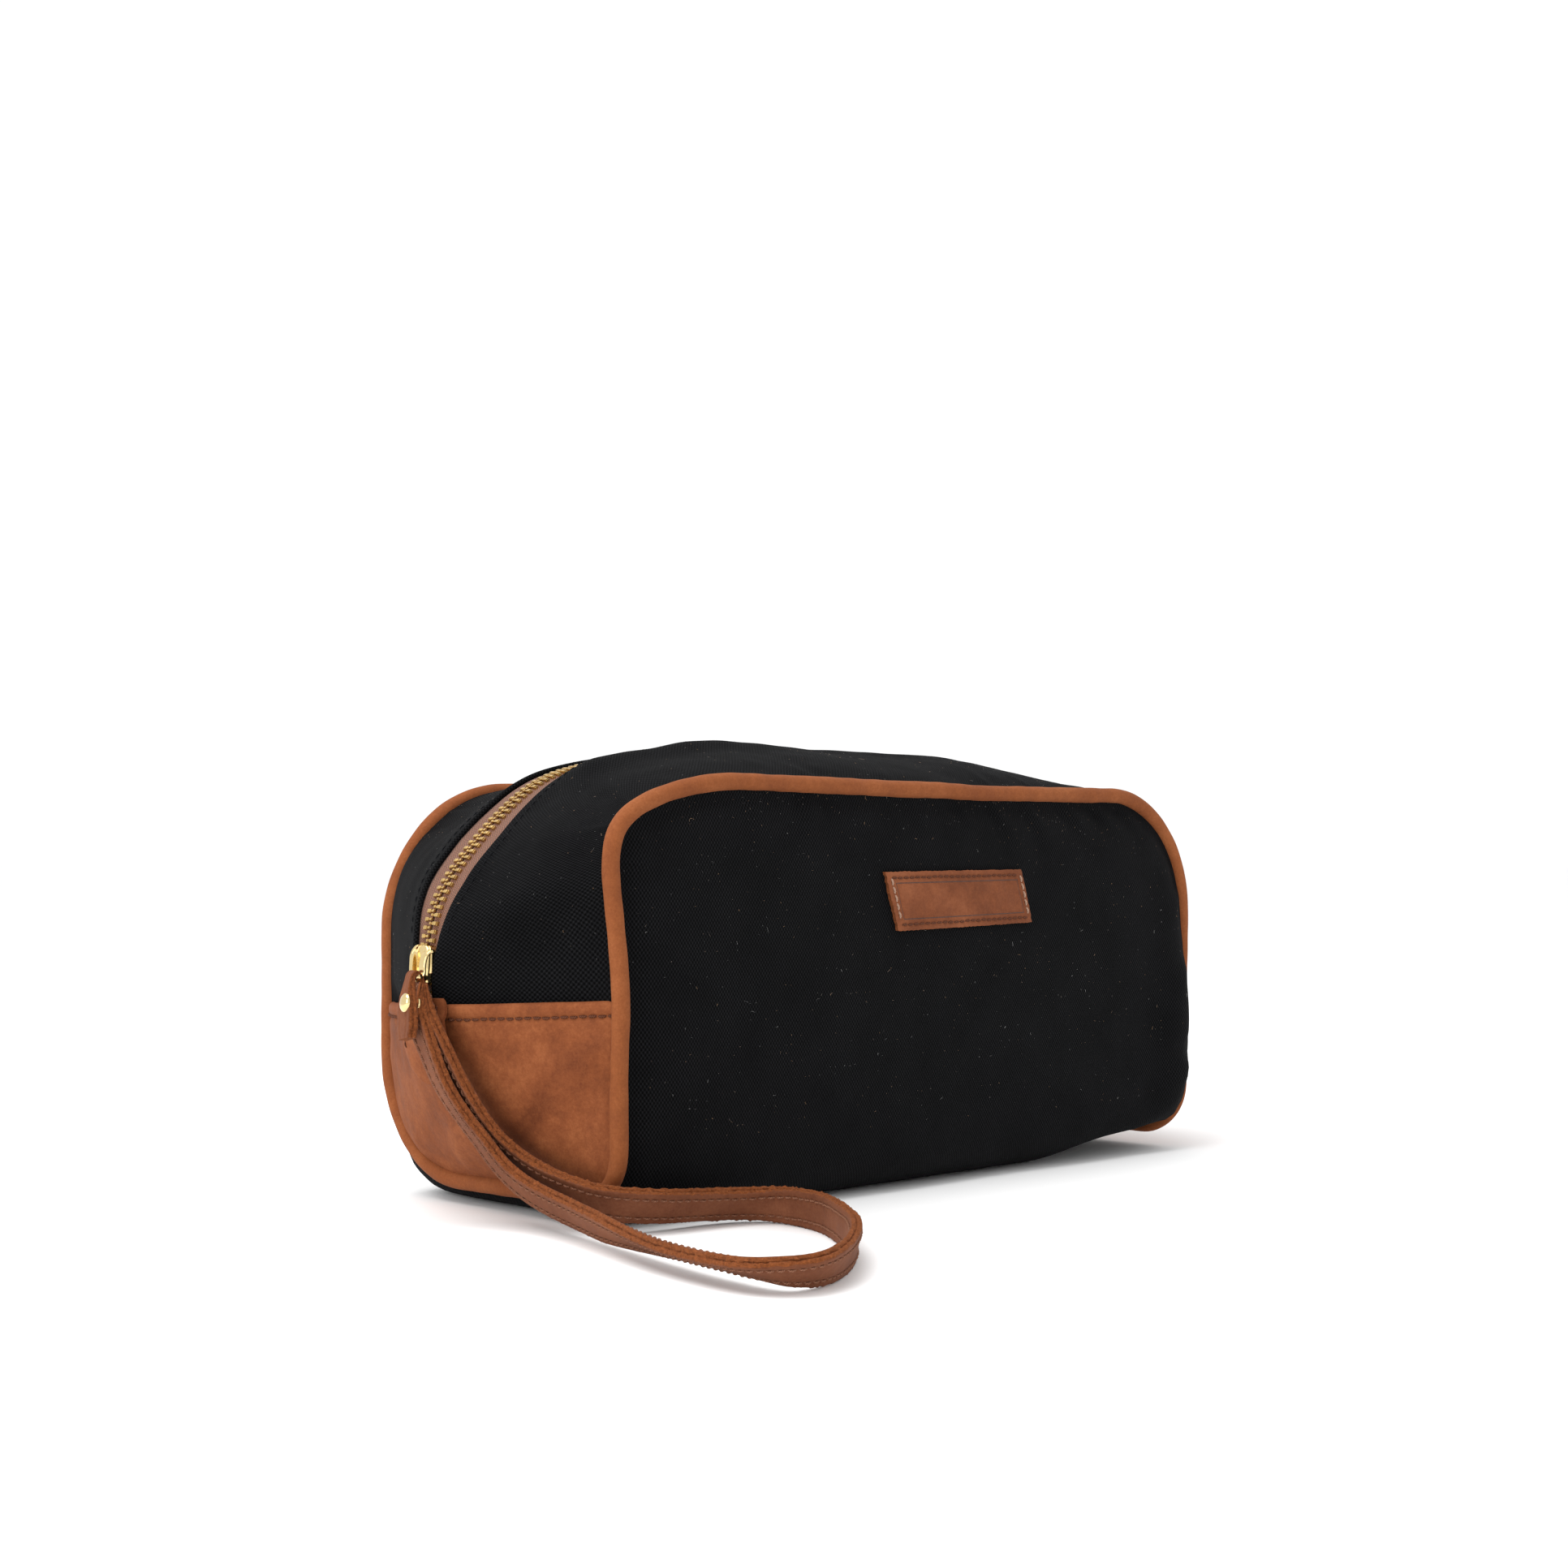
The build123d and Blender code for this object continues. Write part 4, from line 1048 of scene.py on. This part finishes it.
def end_grid(end):
    """Outer face of the cloth at one end, from the bottom seam up to the panel's top edge."""
    # each bottom corner's arc is halved: one half belongs to the side, the other to the bottom
    half = ARC_STEPS // 2
    if end < 0:
        front_side = joined(FRONT_FOOT_L[half:], FRONT_TOP_L)
        rear_side = joined(REAR_FOOT_L[:half][::-1], REAR_TOP_L[::-1])
        bottom = joined(FRONT_FOOT_L[half::-1], REAR_FOOT_L[:half - 1:-1])
    else:
        front_side = joined(FRONT_FOOT_R[:half][::-1], FRONT_TOP_R[::-1])
        rear_side = joined(REAR_FOOT_R[half:], REAR_TOP_R)
        bottom = joined(FRONT_FOOT_R[half:], REAR_FOOT_R[:half + 1])
    b = np.concatenate([np.linspace(0, 0.9, 48), np.linspace(0.9, 1, 15)[1:]])
    a = np.linspace(0, 1, 92)
    sides = []
    for side, top in ((front_side, PANEL_TOP_FRONT), (rear_side, PANEL_TOP_REAR)):
        side = side.cut(0, 1, 900)
        sides.append(side.at(b * (np.interp(top, side.points[:, 2], side.lengths) / side.length)))
    left, right = sides
    low = bottom.at(a)
    high = left[-1] * (1 - a[:, None]) + right[-1] * a[:, None]
    aa, bb = a[None, :, None], b[:, None, None]
    # a patch between its four sides, less what its corners would count twice
    grid = (left[:, None] * (1 - aa) + right[:, None] * aa + low[None] * (1 - bb) + high[None] * bb
            - (1 - aa) * (1 - bb) * low[0] - aa * (1 - bb) * low[-1]
            - (1 - aa) * bb * high[0] - aa * bb * high[-1])
    away = distances(grid, joined(left[::-1], low, right).cut(0, 1, 500))
    y, z = grid[..., 1], grid[..., 2]
    reach = profile_x(z, end) - END_X
    grid[..., 0] += end * reach * end_bow(y) * (1 - np.exp(-away / 3.0))
    return grid, away


def make_end(end):
    """Leather panel with a folded and stitched top edge, and the lining behind it."""
    word = "left" if end < 0 else "right"
    grid, away = end_grid(end)
    n = normals(grid, (end, 0, 0))
    y, z = grid[..., 1], grid[..., 2]
    lift = 1.5 * (1 - np.exp(-away / 4.0))
    hold = smooth(away / 9)
    lift += hold * (0.35 * ripple(y, z, 34, 81 + end) + 0.1 * ripple(y, z, 12, 83 + end))
    folds = [(-55, 30, -34, 24, 3.0, 0.35), (-52, 14, -36, 24, 3.0, 0.5), (-20, 8, -12, 26, 3.2, 0.4),
             (10, 7, 6, 24, 3.4, 0.4), (38, 14, 26, 28, 3.6, 0.5), (55, 44, 36, 40, 3.4, 0.3)]
    for *ends, width, height in folds:
        lift += hold * crease(y, z, ends[:2], ends[2:], width, height)
    top_z = grid[-1, :, 2][None]
    lift -= 0.45 * bell(top_z - z - END_SEAM, 0.7)
    lift += 0.25 * bell(top_z - z - 1.2, 1.3)
    grid = grid + n * lift[..., None]
    n = normals(grid, (end, 0, 0))
    # the top edge is folded over; folding works on columns, so the grid is turned for it and back
    turned = fold_edge(grid.transpose(1, 0, 2), n.transpose(1, 0, 2), radius=1.25, back=6.0)
    turned = turned.transpose(1, 0, 2)
    flat = turned[..., 1:]
    leather = grid_part(turned, normals(turned, (end, 0, 0)), LEATHER_THICK, flat)
    row = int(np.argmin(np.abs(top_z[0, 40] - grid[:, 40, 2] - END_SEAM)))
    sewn = stitches(grid[row, 1:-1], n[row, 1:-1], pitch=2.75, length=2.2, radius=0.4, lift=0.05)
    panel = make_object(f"{word}_end_leather", [leather, sewn], [panel_leather, panel_thread])
    stands_in(panel, "trim_leather", f"end_panel_{word}", body="bag")
    inner = grid_part(grid - n * LEATHER_LINING, n, 0.4, flat[:len(grid)])
    cloth = make_object(f"{word}_end_lining", [inner], [lining])
    stands_in(cloth, "lining", f"end_panel_lining_{word}", body="bag")


def outer_x(end, y, z):
    """Outer face of an end of the bag, as x for places given by y and z, above the panel's skin."""
    skin = 1.6 + 1.2 * smooth((60 - z) / 3)
    return end * (END_X + (profile_x(z, end) - END_X) * end_bow(y) + skin)


def make_tab(end):
    """Round-ended leather tab sewn over the end of the zip."""
    word = "left" if end < 0 else "right"
    half, top, low = 10.8, 63.2, 38.4
    across = np.linspace(-1, 1, 29)
    rows = []
    for z in top - np.linspace(0, 1, 34) * (top - low):
        taper = half
        if z < low + half:
            taper = half * math.sqrt(max(1 - ((low + half - z) / half) ** 2, 0.0016))
        taper *= 1 - 0.08 * smooth((z - 62) / 1.2)
        y = across * taper + 1.2
        x = outer_x(end, y, np.full_like(y, z)) + end * 0.9
        rows.append(np.stack([x, y, np.full_like(y, z)], -1))
    grid = np.array(rows)
    n = normals(grid, (end, 0, 0))
    edge = np.minimum(1, np.abs(np.abs(across) - 1) * 6)[None, :]
    lift = 0.25 * (edge - 1) + 0.12 * ripple(grid[..., 1], grid[..., 2], 9, 91)
    grid = grid + n * lift[..., None]
    sides = [stitches(grid[2:22, j], n[2:22, j], pitch=2.8, length=2.0, radius=0.24, lift=0.05)
             for j in (3, 25)]
    tab = make_object(f"zip_end_tab_{word}_leather", [grid_part(grid, n, 1.2), join_parts(sides)],
                      [panel_leather, panel_thread])
    stands_in(tab, "trim_leather", f"zip_end_tab_{word}", body="bag")


def make_piping():
    """Leather cover along the whole seam, with its cord inside."""
    shares = np.linspace(0, 1, int(seam_loop.length / 1.6), endpoint=False)
    points = seam_loop.at(shares)
    # rounds off the joins between arcs and runs, all round the loop
    for _ in range(3):
        points = (np.roll(points, 1, 0) + 2 * points + np.roll(points, -1, 0)) / 4
    place = shares * seam_loop.length
    wobble = 0.07 * ripple(place, 0 * place, 31, 51) + 0.04 * ripple(place, 0 * place, 9, 52)
    outward = unit(points - np.array([0, 0, 62.0])) * 0.25
    points = points + outward + 0.12 * np.stack([ripple(place, 0 * place, 40, s) for s in (53, 54, 55)], -1)
    cover = tube_part(points, PIPING_RADIUS + wobble, sides=28, closed=True)
    stands_in(make_object("piping_leather", [cover], [trim]), "trim_leather", "piping_cover", body="bag")
    core = tube_part(points[::2], 1.5, sides=12, closed=True)
    stands_in(make_object("piping_filler", [core], [cord_cotton]), "piping_cord", "piping_cord", body="bag")


# ---------------------------------------------------------------- label

LABEL_CORNERS = np.array([(-29.2, 98.9), (37.1, 99.6), (40.6, 82.2), (-24.2, 80.6)])
LABEL_LONG, LABEL_HIGH = 66.4, 18.6
LABEL_STITCH = 1.9        # stitch row in from the edge
LABEL_FRAME = 3.6         # pressed line in from the edge


def make_label():
    """Leather patch with raw edges, a stitched border and a pressed frame line."""
    cols, rows = 112, 40
    a, b = np.linspace(0, 1, cols)[None, :, None], np.linspace(0, 1, rows)[:, None, None]
    top_l, top_r, low_r, low_l = LABEL_CORNERS
    flat = ((top_l * (1 - a) + top_r * a) * (1 - b) + (low_l * (1 - a) + low_r * a) * b)
    flat_x, flat_z = flat[..., 0], flat[..., 1]
    # height of the wall under each place
    fx, fy, fz = wrap[:front_rows].reshape(-1, 3).T
    near = (np.abs(fx - 6) < 50) & (np.abs(fz - 90) < 24)
    fx, fy, fz = fx[near], fy[near], fz[near]
    gap = (flat_x.reshape(-1, 1) - fx) ** 2 + (flat_z.reshape(-1, 1) - fz) ** 2
    weight = np.exp(-gap / 14.0)
    wall_y = (weight @ fy / weight.sum(1)).reshape(flat_x.shape)
    across, down = (a[..., 0] * LABEL_LONG), (b[..., 0] * LABEL_HIGH)
    rim = np.minimum(np.minimum(across, LABEL_LONG - across), np.minimum(down, LABEL_HIGH - down))
    ragged = 0.1 * ripple(across, down, 1.9, 71) * (rim < 0.3)
    thick = 1.5 - 0.35 * np.exp(-rim / 0.5)
    pressed = bell(rim - LABEL_FRAME, 0.26)
    sunk = bell(rim - LABEL_STITCH, 0.45)
    thick = thick - 0.3 * pressed - 0.18 * sunk
    thick = thick + 0.07 * ripple(across, down, 6, 72)
    grid = np.stack([flat_x + ragged, wall_y - thick - 0.15, flat_z + ragged], -1)
    n = unit(normals(grid, (0, -1, 0)) + np.array([0, -2.0, 0]))
    patch = grid_part(grid, n, 1.5)
    rim_faces = 2 * (rows + cols) - 4
    patch["slot"] = np.repeat([0, 4], [len(patch["faces"]) - rim_faces, rim_faces])
    i, j = round(LABEL_STITCH / LABEL_HIGH * (rows - 1)), round(LABEL_STITCH / LABEL_LONG * (cols - 1))
    along, upright = slice(j, cols - j), slice(i, rows - i)
    # one thread goes round the label: the top and bottom rows take the darker thread and the side rows a lit
    # copy, painted shade and painted light
    edges = [(i, along, 1), (rows - 1 - i, along, 1), (upright, j, 2), (upright, cols - 1 - j, 2)]
    border = [stitches(grid[p, q], n[p, q], pitch=2.65, length=2.1, radius=0.34, lift=0.1, slot=slot)
              for p, q, slot in edges]
    i0, j0 = LABEL_FRAME / LABEL_HIGH * (rows - 1), LABEL_FRAME / LABEL_LONG * (cols - 1)

    def spot(i, j):
        p, q = int(i), int(j)
        s, t = i - p, j - q
        return ((grid[p, q] * (1 - t) + grid[p, q + 1] * t) * (1 - s)
                + (grid[p + 1, q] * (1 - t) + grid[p + 1, q + 1] * t) * s)

    ring = ([(i0, j) for j in np.linspace(j0, cols - 1 - j0, 90)]
            + [(i, cols - 1 - j0) for i in np.linspace(i0, rows - 1 - i0, 26)[1:]]
            + [(rows - 1 - i0, j) for j in np.linspace(cols - 1 - j0, j0, 90)[1:]]
            + [(i, j0) for i in np.linspace(rows - 1 - i0, i0, 26)[1:-1]])
    points = np.array([spot(i, j) for i, j in ring]) + np.array([0, 0.1, 0])
    frame_line = tube_part(points, 0.2, sides=6, slot=3, closed=True)
    label = make_object("label_patch", [patch] + border + [frame_line],
                        [label_leather, panel_thread, label_side_thread_lit, debossed, raw_edge])
    stands_in(label, "label_leather", "leather_label", body="bag")


# ---------------------------------------------------------------- slider, rivet and strap

def slider_axes():
    """Place and axes of the slider: out of the bag, to the front, up along the zip."""
    p, out, go = zip_frame(zip_share(-159.1, SLIDER_Z))
    return p, np.array([out, [0, -1.0, 0], go])


def make_slider():
    """Slider with its tray-shaped front plate, and the bar that the leather hangs on."""
    origin, axes = slider_axes()
    half, long, corner = 4.3, 5.3, 2.4
    across = np.sin(np.linspace(-1, 1, 65) * math.pi / 2)
    grid = []
    for s in np.linspace(-long, long, 61):
        over = max(s - (long - corner), 0)
        w = half - corner + math.sqrt(corner**2 - over**2) if over < corner else half - corner
        w -= 0.35 * smooth((-s - 1.0) / 4.0)
        place = np.abs(across) * w
        wall = smooth((place - (w - 2.1)) / 0.7)
        round_off = 0.9 * smooth((place - (w - 0.8)) / 0.8) ** 2
        height = 2.5 - 0.9 * smooth((s - 1.5) / 3.8) - 0.5 * smooth((-s - 3.6) / 1.7)
        n = 0.9 + (height - 0.9) * wall - round_off
        n = np.where(np.abs(across) > 0.9999, -1.6, n)
        grid.append(np.stack([n, across * w, np.full_like(across, s)], -1))
    grid = np.array(grid)
    top = grid_part(grid, np.broadcast_to([1.0, 0, 0], grid.shape), 0.8)
    back = block_part((1.1, 8.2, 9.6), (-3.7, 0, 0), 0.4)
    web = block_part((4.5, 0.9, 3.2), (-1.4, 0, 2.6), 0.2)
    flanges = [block_part((2.6, 0.75, 6.4), (-0.2, s * 4.05, 0.4), 0.3) for s in (-1, 1)]
    parts = [placed(part, origin, axes) for part in [top, back, web] + flanges]
    body = make_object("slider_shell", parts, [gold], sharp=50)
    stands_in(body, "polished_brass", "slider_body", body="slider")
    # bridge: a flat arched bar that the leather hangs on, with a round knob at its lower end
    shift, foot = 3.0, -3.9
    arch = [(0.6, 3.4), (1.5, 3.0), (2.3, 1.6), (2.7, -0.6), (2.7, -2.6), (3.2, -3.6)]
    points = smooth_line([(out, shift, go) for out, go in arch], 10).points
    across = np.array([0, 1.0, 0])
    n = np.cross(across, unit(np.gradient(points, axis=0)))
    angle = np.linspace(0, TAU, 20, endpoint=False)
    wide, high = (np.sign(f(angle)) * np.abs(f(angle)) ** 0.5 for f in (np.cos, np.sin))
    bar = []
    for k, p in enumerate(points):
        width = 1.75 - 0.45 * math.sin(math.pi * k / (len(points) - 1))
        bar.append(p + np.outer(wide * width, across) + np.outer(high * 0.5, n[k]))
    reach, radius = np.array([(0.8, 1.1), (3.0, 1.15), (3.6, 1.45), (4.8, 1.4), (5.5, 1.0), (5.8, 0.3)]).T
    post = tube_part([(out, shift, foot) for out in reach], radius, sides=24)
    parts = [placed(part, origin, axes) for part in (ring_part(np.array(bar)), post)]
    bridge = make_object("slider_bar", parts, [gold], sharp=60)
    stands_in(bridge, "polished_brass", "slider_bridge", body="slider")


STRAP_ROUTE = [
    (-164.6, -7.2, 53.2), (-163.6, -9.1, 48.2), (-162.2, -10.9, 42.4), (-160.4, -13.2, 37.0),
    (-158.4, -15.4, 32.6), (-156.2, -18.2, 28.0), (-154.2, -20.6, 24.2), (-152.2, -23.2, 19.8),
    (-150.6, -26.8, 15.8), (-149.4, -31.6, 12.6), (-148.8, -37.2, 10.4), (-148.9, -44.0, 8.8),
    (-149.6, -50.8, 7.8), (-151.0, -59.6, 6.8), (-153.6, -69.2, 6.1), (-158.4, -89.2, 5.5),
    (-163.4, -108.6, 5.4), (-166.6, -129.6, 5.4), (-167.4, -145.2, 5.4), (-160.4, -154.2, 5.4),
    (-144.4, -150.4, 5.3), (-116.8, -129.6, 5.3), (-98.6, -105.2, 5.3), (-91.6, -92.0, 5.3),
    (-89.8, -76.0, 5.4), (-98.2, -67.4, 5.7), (-112.6, -64.8, 6.4), (-128.2, -63.6, 7.4),
    (-140.0, -55.6, 8.8), (-142.4, -42.0, 11.3), (-144.0, -31.8, 15.0), (-147.4, -24.2, 20.4),
    (-151.0, -20.6, 25.6), (-155.4, -16.4, 34.5), (-159.4, -12.4, 45.0), (-161.6, -8.3, 54.0),
]
STRAP_TOP_OUT = [(-163.5, -4.6, 67.6), (-165.6, -3.8, 61.6)]    # up beside the rivet, before the route
STRAP_TOP_IN = [(-162.4, -4.8, 61.6), (-162.5, -5.0, 67.6)]     # and after it
# up from the strap, over the slider's bar and down again to the cut end
THONG_ROUTE = [
    (-162.4, -2.6, 66.4), (-162.8, -2.4, 69.0), (-164.2, -2.4, 70.3), (-166.0, -3.1, 69.4),
    (-167.6, -4.4, 66.2), (-168.6, -5.4, 61.8), (-169.0, -6.0, 57.0), (-169.7, -6.8, 52.4),
]
THONG_WIDTH = 9.6
THONG_THICK = 2.9
THONG_GROOVE = 2.4        # grooves in from its cut edges
RIVET_Z = 62.3            # height of the rivet
RIVET_IN = 1.6            # in front of the middle of the folded end

# which way the strap's upper cut edge looks, at places counted along all the points
STRAP_EDGE = [
    (0, (-0.55, -0.82, 0.1)), (1, (-0.2, -0.95, 0.25)), (2, (-0.32, -0.89, 0.31)),
    (6, (-0.46, -0.85, 0.26)), (9, (-0.46, -0.8, 0.39)), (11, (-0.57, -0.46, 0.68)),
    (14, (-0.61, -0.05, 0.79)), (16, (-0.6, 0.11, 0.79)), (17, (-0.8, 0.18, 0.56)),
    (18, (-0.91, 0.18, 0.35)), (19, (-0.93, 0.1, 0.33)), (20, (-0.88, -0.25, 0.42)),
    (21, (-0.2, -0.75, 0.62)), (22, (0.1, -0.45, 0.9)), (23, (0, -0.2, 1)), (24, (-0.1, -0.1, 1)),
    (26, (-0.25, -0.3, 0.9)), (27, (-0.25, -0.55, 0.79)), (28, (-0.1, -0.6, 0.79)),
    (29, (-0.13, -0.55, 0.83)), (30, (-0.33, -0.4, 0.87)), (31, (-0.35, -0.5, 0.8)),
    (32, (-0.4, -0.7, 0.6)), (33, (-0.42, -0.85, 0.45)), (35, (-0.4, -0.88, 0.28)),
    (37, (-0.3, -0.93, 0.2)), (39, (-0.55, -0.82, 0.1)),
]


def strap_line():
    """The strap's smooth centreline, read from a curve that has the route as its control points."""
    points = STRAP_TOP_OUT + STRAP_ROUTE + STRAP_TOP_IN
    data = bpy.data.curves.new("strap_route", "CURVE")
    data.dimensions = "3D"
    data.resolution_u = 10
    spline = data.splines.new("NURBS")
    spline.points.add(len(points) - 1)
    for knot, p in zip(spline.points, points):
        knot.co = (p[0] * MM, p[1] * MM, p[2] * MM, 1)
    spline.order_u = 3
    spline.use_endpoint_u = True
    guide = bpy.data.objects.new("strap_route", data)
    bpy.context.scene.collection.objects.link(guide)
    mesh = bpy.data.meshes.new_from_object(guide)
    line = np.array([v.co for v in mesh.vertices]) / MM
    bpy.data.objects.remove(guide)
    bpy.data.meshes.remove(mesh)
    bpy.data.curves.remove(data)
    return line


def band_frames(points, place, keys):
    """Outer-face normal and width direction along a flat band whose upper edge looks the way the keys say."""
    want = np.stack([np.interp(place, [k for k, _ in keys], [v[j] for _, v in keys]) for j in range(3)], -1)
    for _ in range(60):
        want[1:-1] = (want[:-2] + 2 * want[1:-1] + want[2:]) / 4
    t = unit(np.gradient(points, axis=0))
    edge = unit(want - t * (want * t).sum(1, keepdims=True))
    return np.cross(t, edge), -edge


def band_part(points, face, width_dir, width, thick, seed, stitch_inset):
    """Flat leather band of two glued layers, with a groove in each cut edge and under each stitch row."""
    half, flat = width / 2, thick / 2
    # the section, as places across the band and through it, and 1 on the cut edges
    skin = []
    for w in np.linspace(-half + 0.35, half - 0.35, 22):
        groove = 0.25 * math.exp(-((abs(w) - (half - stitch_inset)) / 0.4) ** 2)
        skin.append((w, flat - groove, 0))
    edge = [(half - 0.08, flat - 0.22, 1), (half + 0.06, flat * 0.55, 1), (half, flat * 0.22, 1),
            (half - 0.42, 0.0, 1),
            (half, -flat * 0.22, 1), (half + 0.06, -flat * 0.55, 1), (half - 0.08, -flat + 0.22, 1)]
    under = [(w, -h, 0) for w, h, _ in skin[::-1]]
    outline = np.array(skin + edge + under + [(-w, -h, 1) for w, h, _ in edge])
    count, sides = len(points), len(outline)
    local = np.random.default_rng(seed)
    rough = outline[:, 2] > 0.5
    w = outline[:, 0] + rough * local.normal(0, 0.16, (count, sides))
    h = outline[:, 1] + rough * local.normal(0, 0.1, (count, sides))
    verts = points[:, None] + width_dir[:, None] * w[..., None] + face[:, None] * h[..., None]
    uv = np.stack(np.broadcast_arrays(Line(points).lengths[:, None], outline[None, :, 0]), -1)
    index = np.arange(count * sides).reshape(count, sides)
    quads = quads_between(index)
    is_edge = rough & np.roll(rough, -1)
    skin, cut = quads[:, ~is_edge].reshape(-1, 4), quads[:, is_edge].reshape(-1, 4)
    caps = [index[0][::-1], index[-1]]
    if np.cross(width_dir[0], face[0]) @ (points[1] - points[0]) > 0:
        skin, cut = skin[:, ::-1], cut[:, ::-1]
        caps = [cap[::-1] for cap in caps]
    return {"verts": verts.reshape(-1, 3), "faces": list(skin) + list(cut) + caps, "uv": uv.reshape(-1, 2),
            "slot": np.repeat([0, 1], [len(skin), len(cut) + 2])}


def make_strap():
    """Wrist strap with its four stitch rows, along the route's smooth centreline."""
    line = strap_line()
    whole = Line(line)
    shares = np.linspace(0, 1, 640)
    dense = whole.at(shares)
    total = len(STRAP_TOP_OUT) + len(STRAP_ROUTE) + len(STRAP_TOP_IN)
    place = np.interp(shares, whole.lengths / whole.length, np.linspace(0, total - 1, len(line)))
    face, width_dir = band_frames(dense, place, STRAP_EDGE)
    # both ends are pinched thin where they tuck under the folded end
    from_end = np.minimum(shares, 1 - shares) * whole.length
    thin = (0.45 + 0.55 * smooth((from_end + 1.0) / 9.0))[:, None]
    parts = [band_part(dense, face * thin, width_dir, STRAP_WIDTH, STRAP_THICK, 5, STRAP_STITCH)]
    for side in (1, -1):
        for row in (-1, 1):
            sewn = dense + width_dir * row * (STRAP_WIDTH / 2 - STRAP_STITCH)
            sewn = sewn + face * thin * side * (STRAP_THICK / 2 - 0.12)
            parts.append(stitches(sewn, face * side, pitch=2.65, length=1.95, radius=0.3, lift=0.04, slot=2))
    strap = make_object("wrist_strap_leather", parts, [strap_leather, raw_edge, strap_thread], sharp=60)
    stands_in(strap, "strap_leather", "wrist_strap")
    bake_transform(strap)


def make_thong():
    """Leather folded round the slider's post: its cut end hangs outside the strap and carries the rivet."""
    count = 70
    points = smooth_line(THONG_ROUTE, 12).at(np.linspace(0, 1, count))
    t = unit(np.gradient(points, axis=0))
    side = unit(np.array([0.22, 0.97, 0]) + 0 * t)
    side = unit(side - t * (side * t).sum(1, keepdims=True))
    face = np.cross(t, side)
    if face[40] @ np.array([-1, 0.3, 0]) < 0:
        face = -face
    band = band_part(points, face, side, THONG_WIDTH, THONG_THICK, 9, THONG_GROOVE)
    each = len(band["verts"]) // count
    share = np.repeat(np.linspace(0, 1, count), each)
    # narrow and thin where it passes the post, widening on its rear side to the rivet
    narrow = np.interp(share, [0, 0.3, 0.42, 0.72, 0.86, 1.0], [0.42, 0.34, 0.42, 0.92, 0.9, 0.66])[:, None]
    thin = np.interp(share, [0, 0.3, 0.5, 1.0], [0.6, 0.6, 1.0, 1.0])[:, None]
    centre, axis, front = (np.repeat(v, each, 0) for v in (points, side, face))
    off = ((band["verts"] - centre) * axis).sum(1, keepdims=True)
    high = ((band["verts"] - centre) * front).sum(1, keepdims=True)
    band["verts"] = centre + axis * off * narrow + front * high * thin
    thong = make_object("strap_thong_leather", [band], [strap_leather, raw_edge], sharp=60)
    stands_in(thong, "strap_leather", "strap_thong", body="slider")
    # the rivet sits nearer the front edge of the folded end
    to_front = side[0] if side[0][1] < 0 else -side[0]
    k = int(np.argmin(np.abs(points[:, 2] - RIVET_Z) + (np.linspace(0, 1, count) < 0.5) * 99))
    make_rivet(points[k] + face[k] * THONG_THICK / 2 + to_front * RIVET_IN, face[k], side[k])


def make_rivet(centre, out, across):
    """Domed cap on the outer face, and the post behind it with its flange."""
    other = np.cross(out, across)
    dome = [(0.02, 1.15), (0.8, 1.12), (1.5, 1.0), (2.1, 0.78), (2.55, 0.42), (2.75, 0.05), (2.7, -0.25)]
    turns = [across * math.cos(w) + other * math.sin(w) for w in np.linspace(0, TAU, 36, endpoint=False)]
    rings = np.array([[centre + out * height + turn * radius for turn in turns] for radius, height in dome])
    cap = make_object("rivet_head", [ring_part(rings, flip=True)], [gold], sharp=70)
    stands_in(cap, "polished_brass", "rivet_cap", body="slider")
    depths, radius = np.array([(3.5, 2.3), (3.1, 2.3), (3.0, 1.2), (0.0, 1.2)]).T
    post = tube_part([centre - out * depth for depth in depths], radius, sides=24)
    shank = make_object("rivet_shank", [post], [gold], sharp=50)
    stands_in(shank, "polished_brass", "rivet_post", body="slider")


# ---------------------------------------------------------------- build

make_wrap()
for side in (-1, 1):
    make_half(side)
    make_zip(side)
make_stops()
for end in (-1, 1):
    make_end(end)
    make_tab(end)
make_piping()
make_label()
make_slider()
make_strap()
make_thong()


# ---------------------------------------------------------------- camera, floor and light

def make_stage():
    """Plain pale floor and world."""
    bpy.ops.mesh.primitive_plane_add(size=400.0, location=(0, 0, -0.0002))
    floor = bpy.context.object
    floor.name = "floor"
    look = Look("floor_white", 0.9, Specular_IOR_Level=0.1)
    look.shader.inputs["Base Color"].default_value = (0.96, 0.96, 0.96, 1)
    floor.data.materials.append(look.material)
    world = bpy.data.worlds.new("studio")
    world.use_nodes = True
    world.node_tree.nodes["Background"].inputs[0].default_value = (1, 1, 1, 1)
    world.node_tree.nodes["Background"].inputs[1].default_value = 1.05
    bpy.context.scene.world = world


def area_light(name, place, target, size, power):
    """Square soft light that looks at a place."""
    light = bpy.data.lights.new(name, "AREA")
    light.size = size
    light.energy = power
    obj = bpy.data.objects.new(name, light)
    bpy.context.scene.collection.objects.link(obj)
    obj.location = place
    obj.rotation_euler = (Vector(target) - Vector(place)).to_track_quat("-Z", "Y").to_euler()


def make_camera():
    """Camera in front of the left end, a little above the floor."""
    data = bpy.data.cameras.new("camera")
    data.lens = 51.5
    data.sensor_width = 36.0
    data.clip_start = 0.05
    camera = bpy.data.objects.new("camera", data)
    bpy.context.scene.collection.objects.link(camera)
    camera.location = (-0.540, -0.526, 0.101)
    camera.rotation_euler = (math.radians(90 + 2.07), 0, math.radians(-45.0))
    bpy.context.scene.camera = camera


make_stage()
area_light("key", (-0.5, 0.1, 1.4), (0, 0, 0.05), 1.2, 16)
area_light("side", (-1.3, -0.2, 0.5), (-0.1, 0, 0.06), 0.7, 5)
make_camera()
bpy.context.scene.view_settings.view_transform = "Standard"
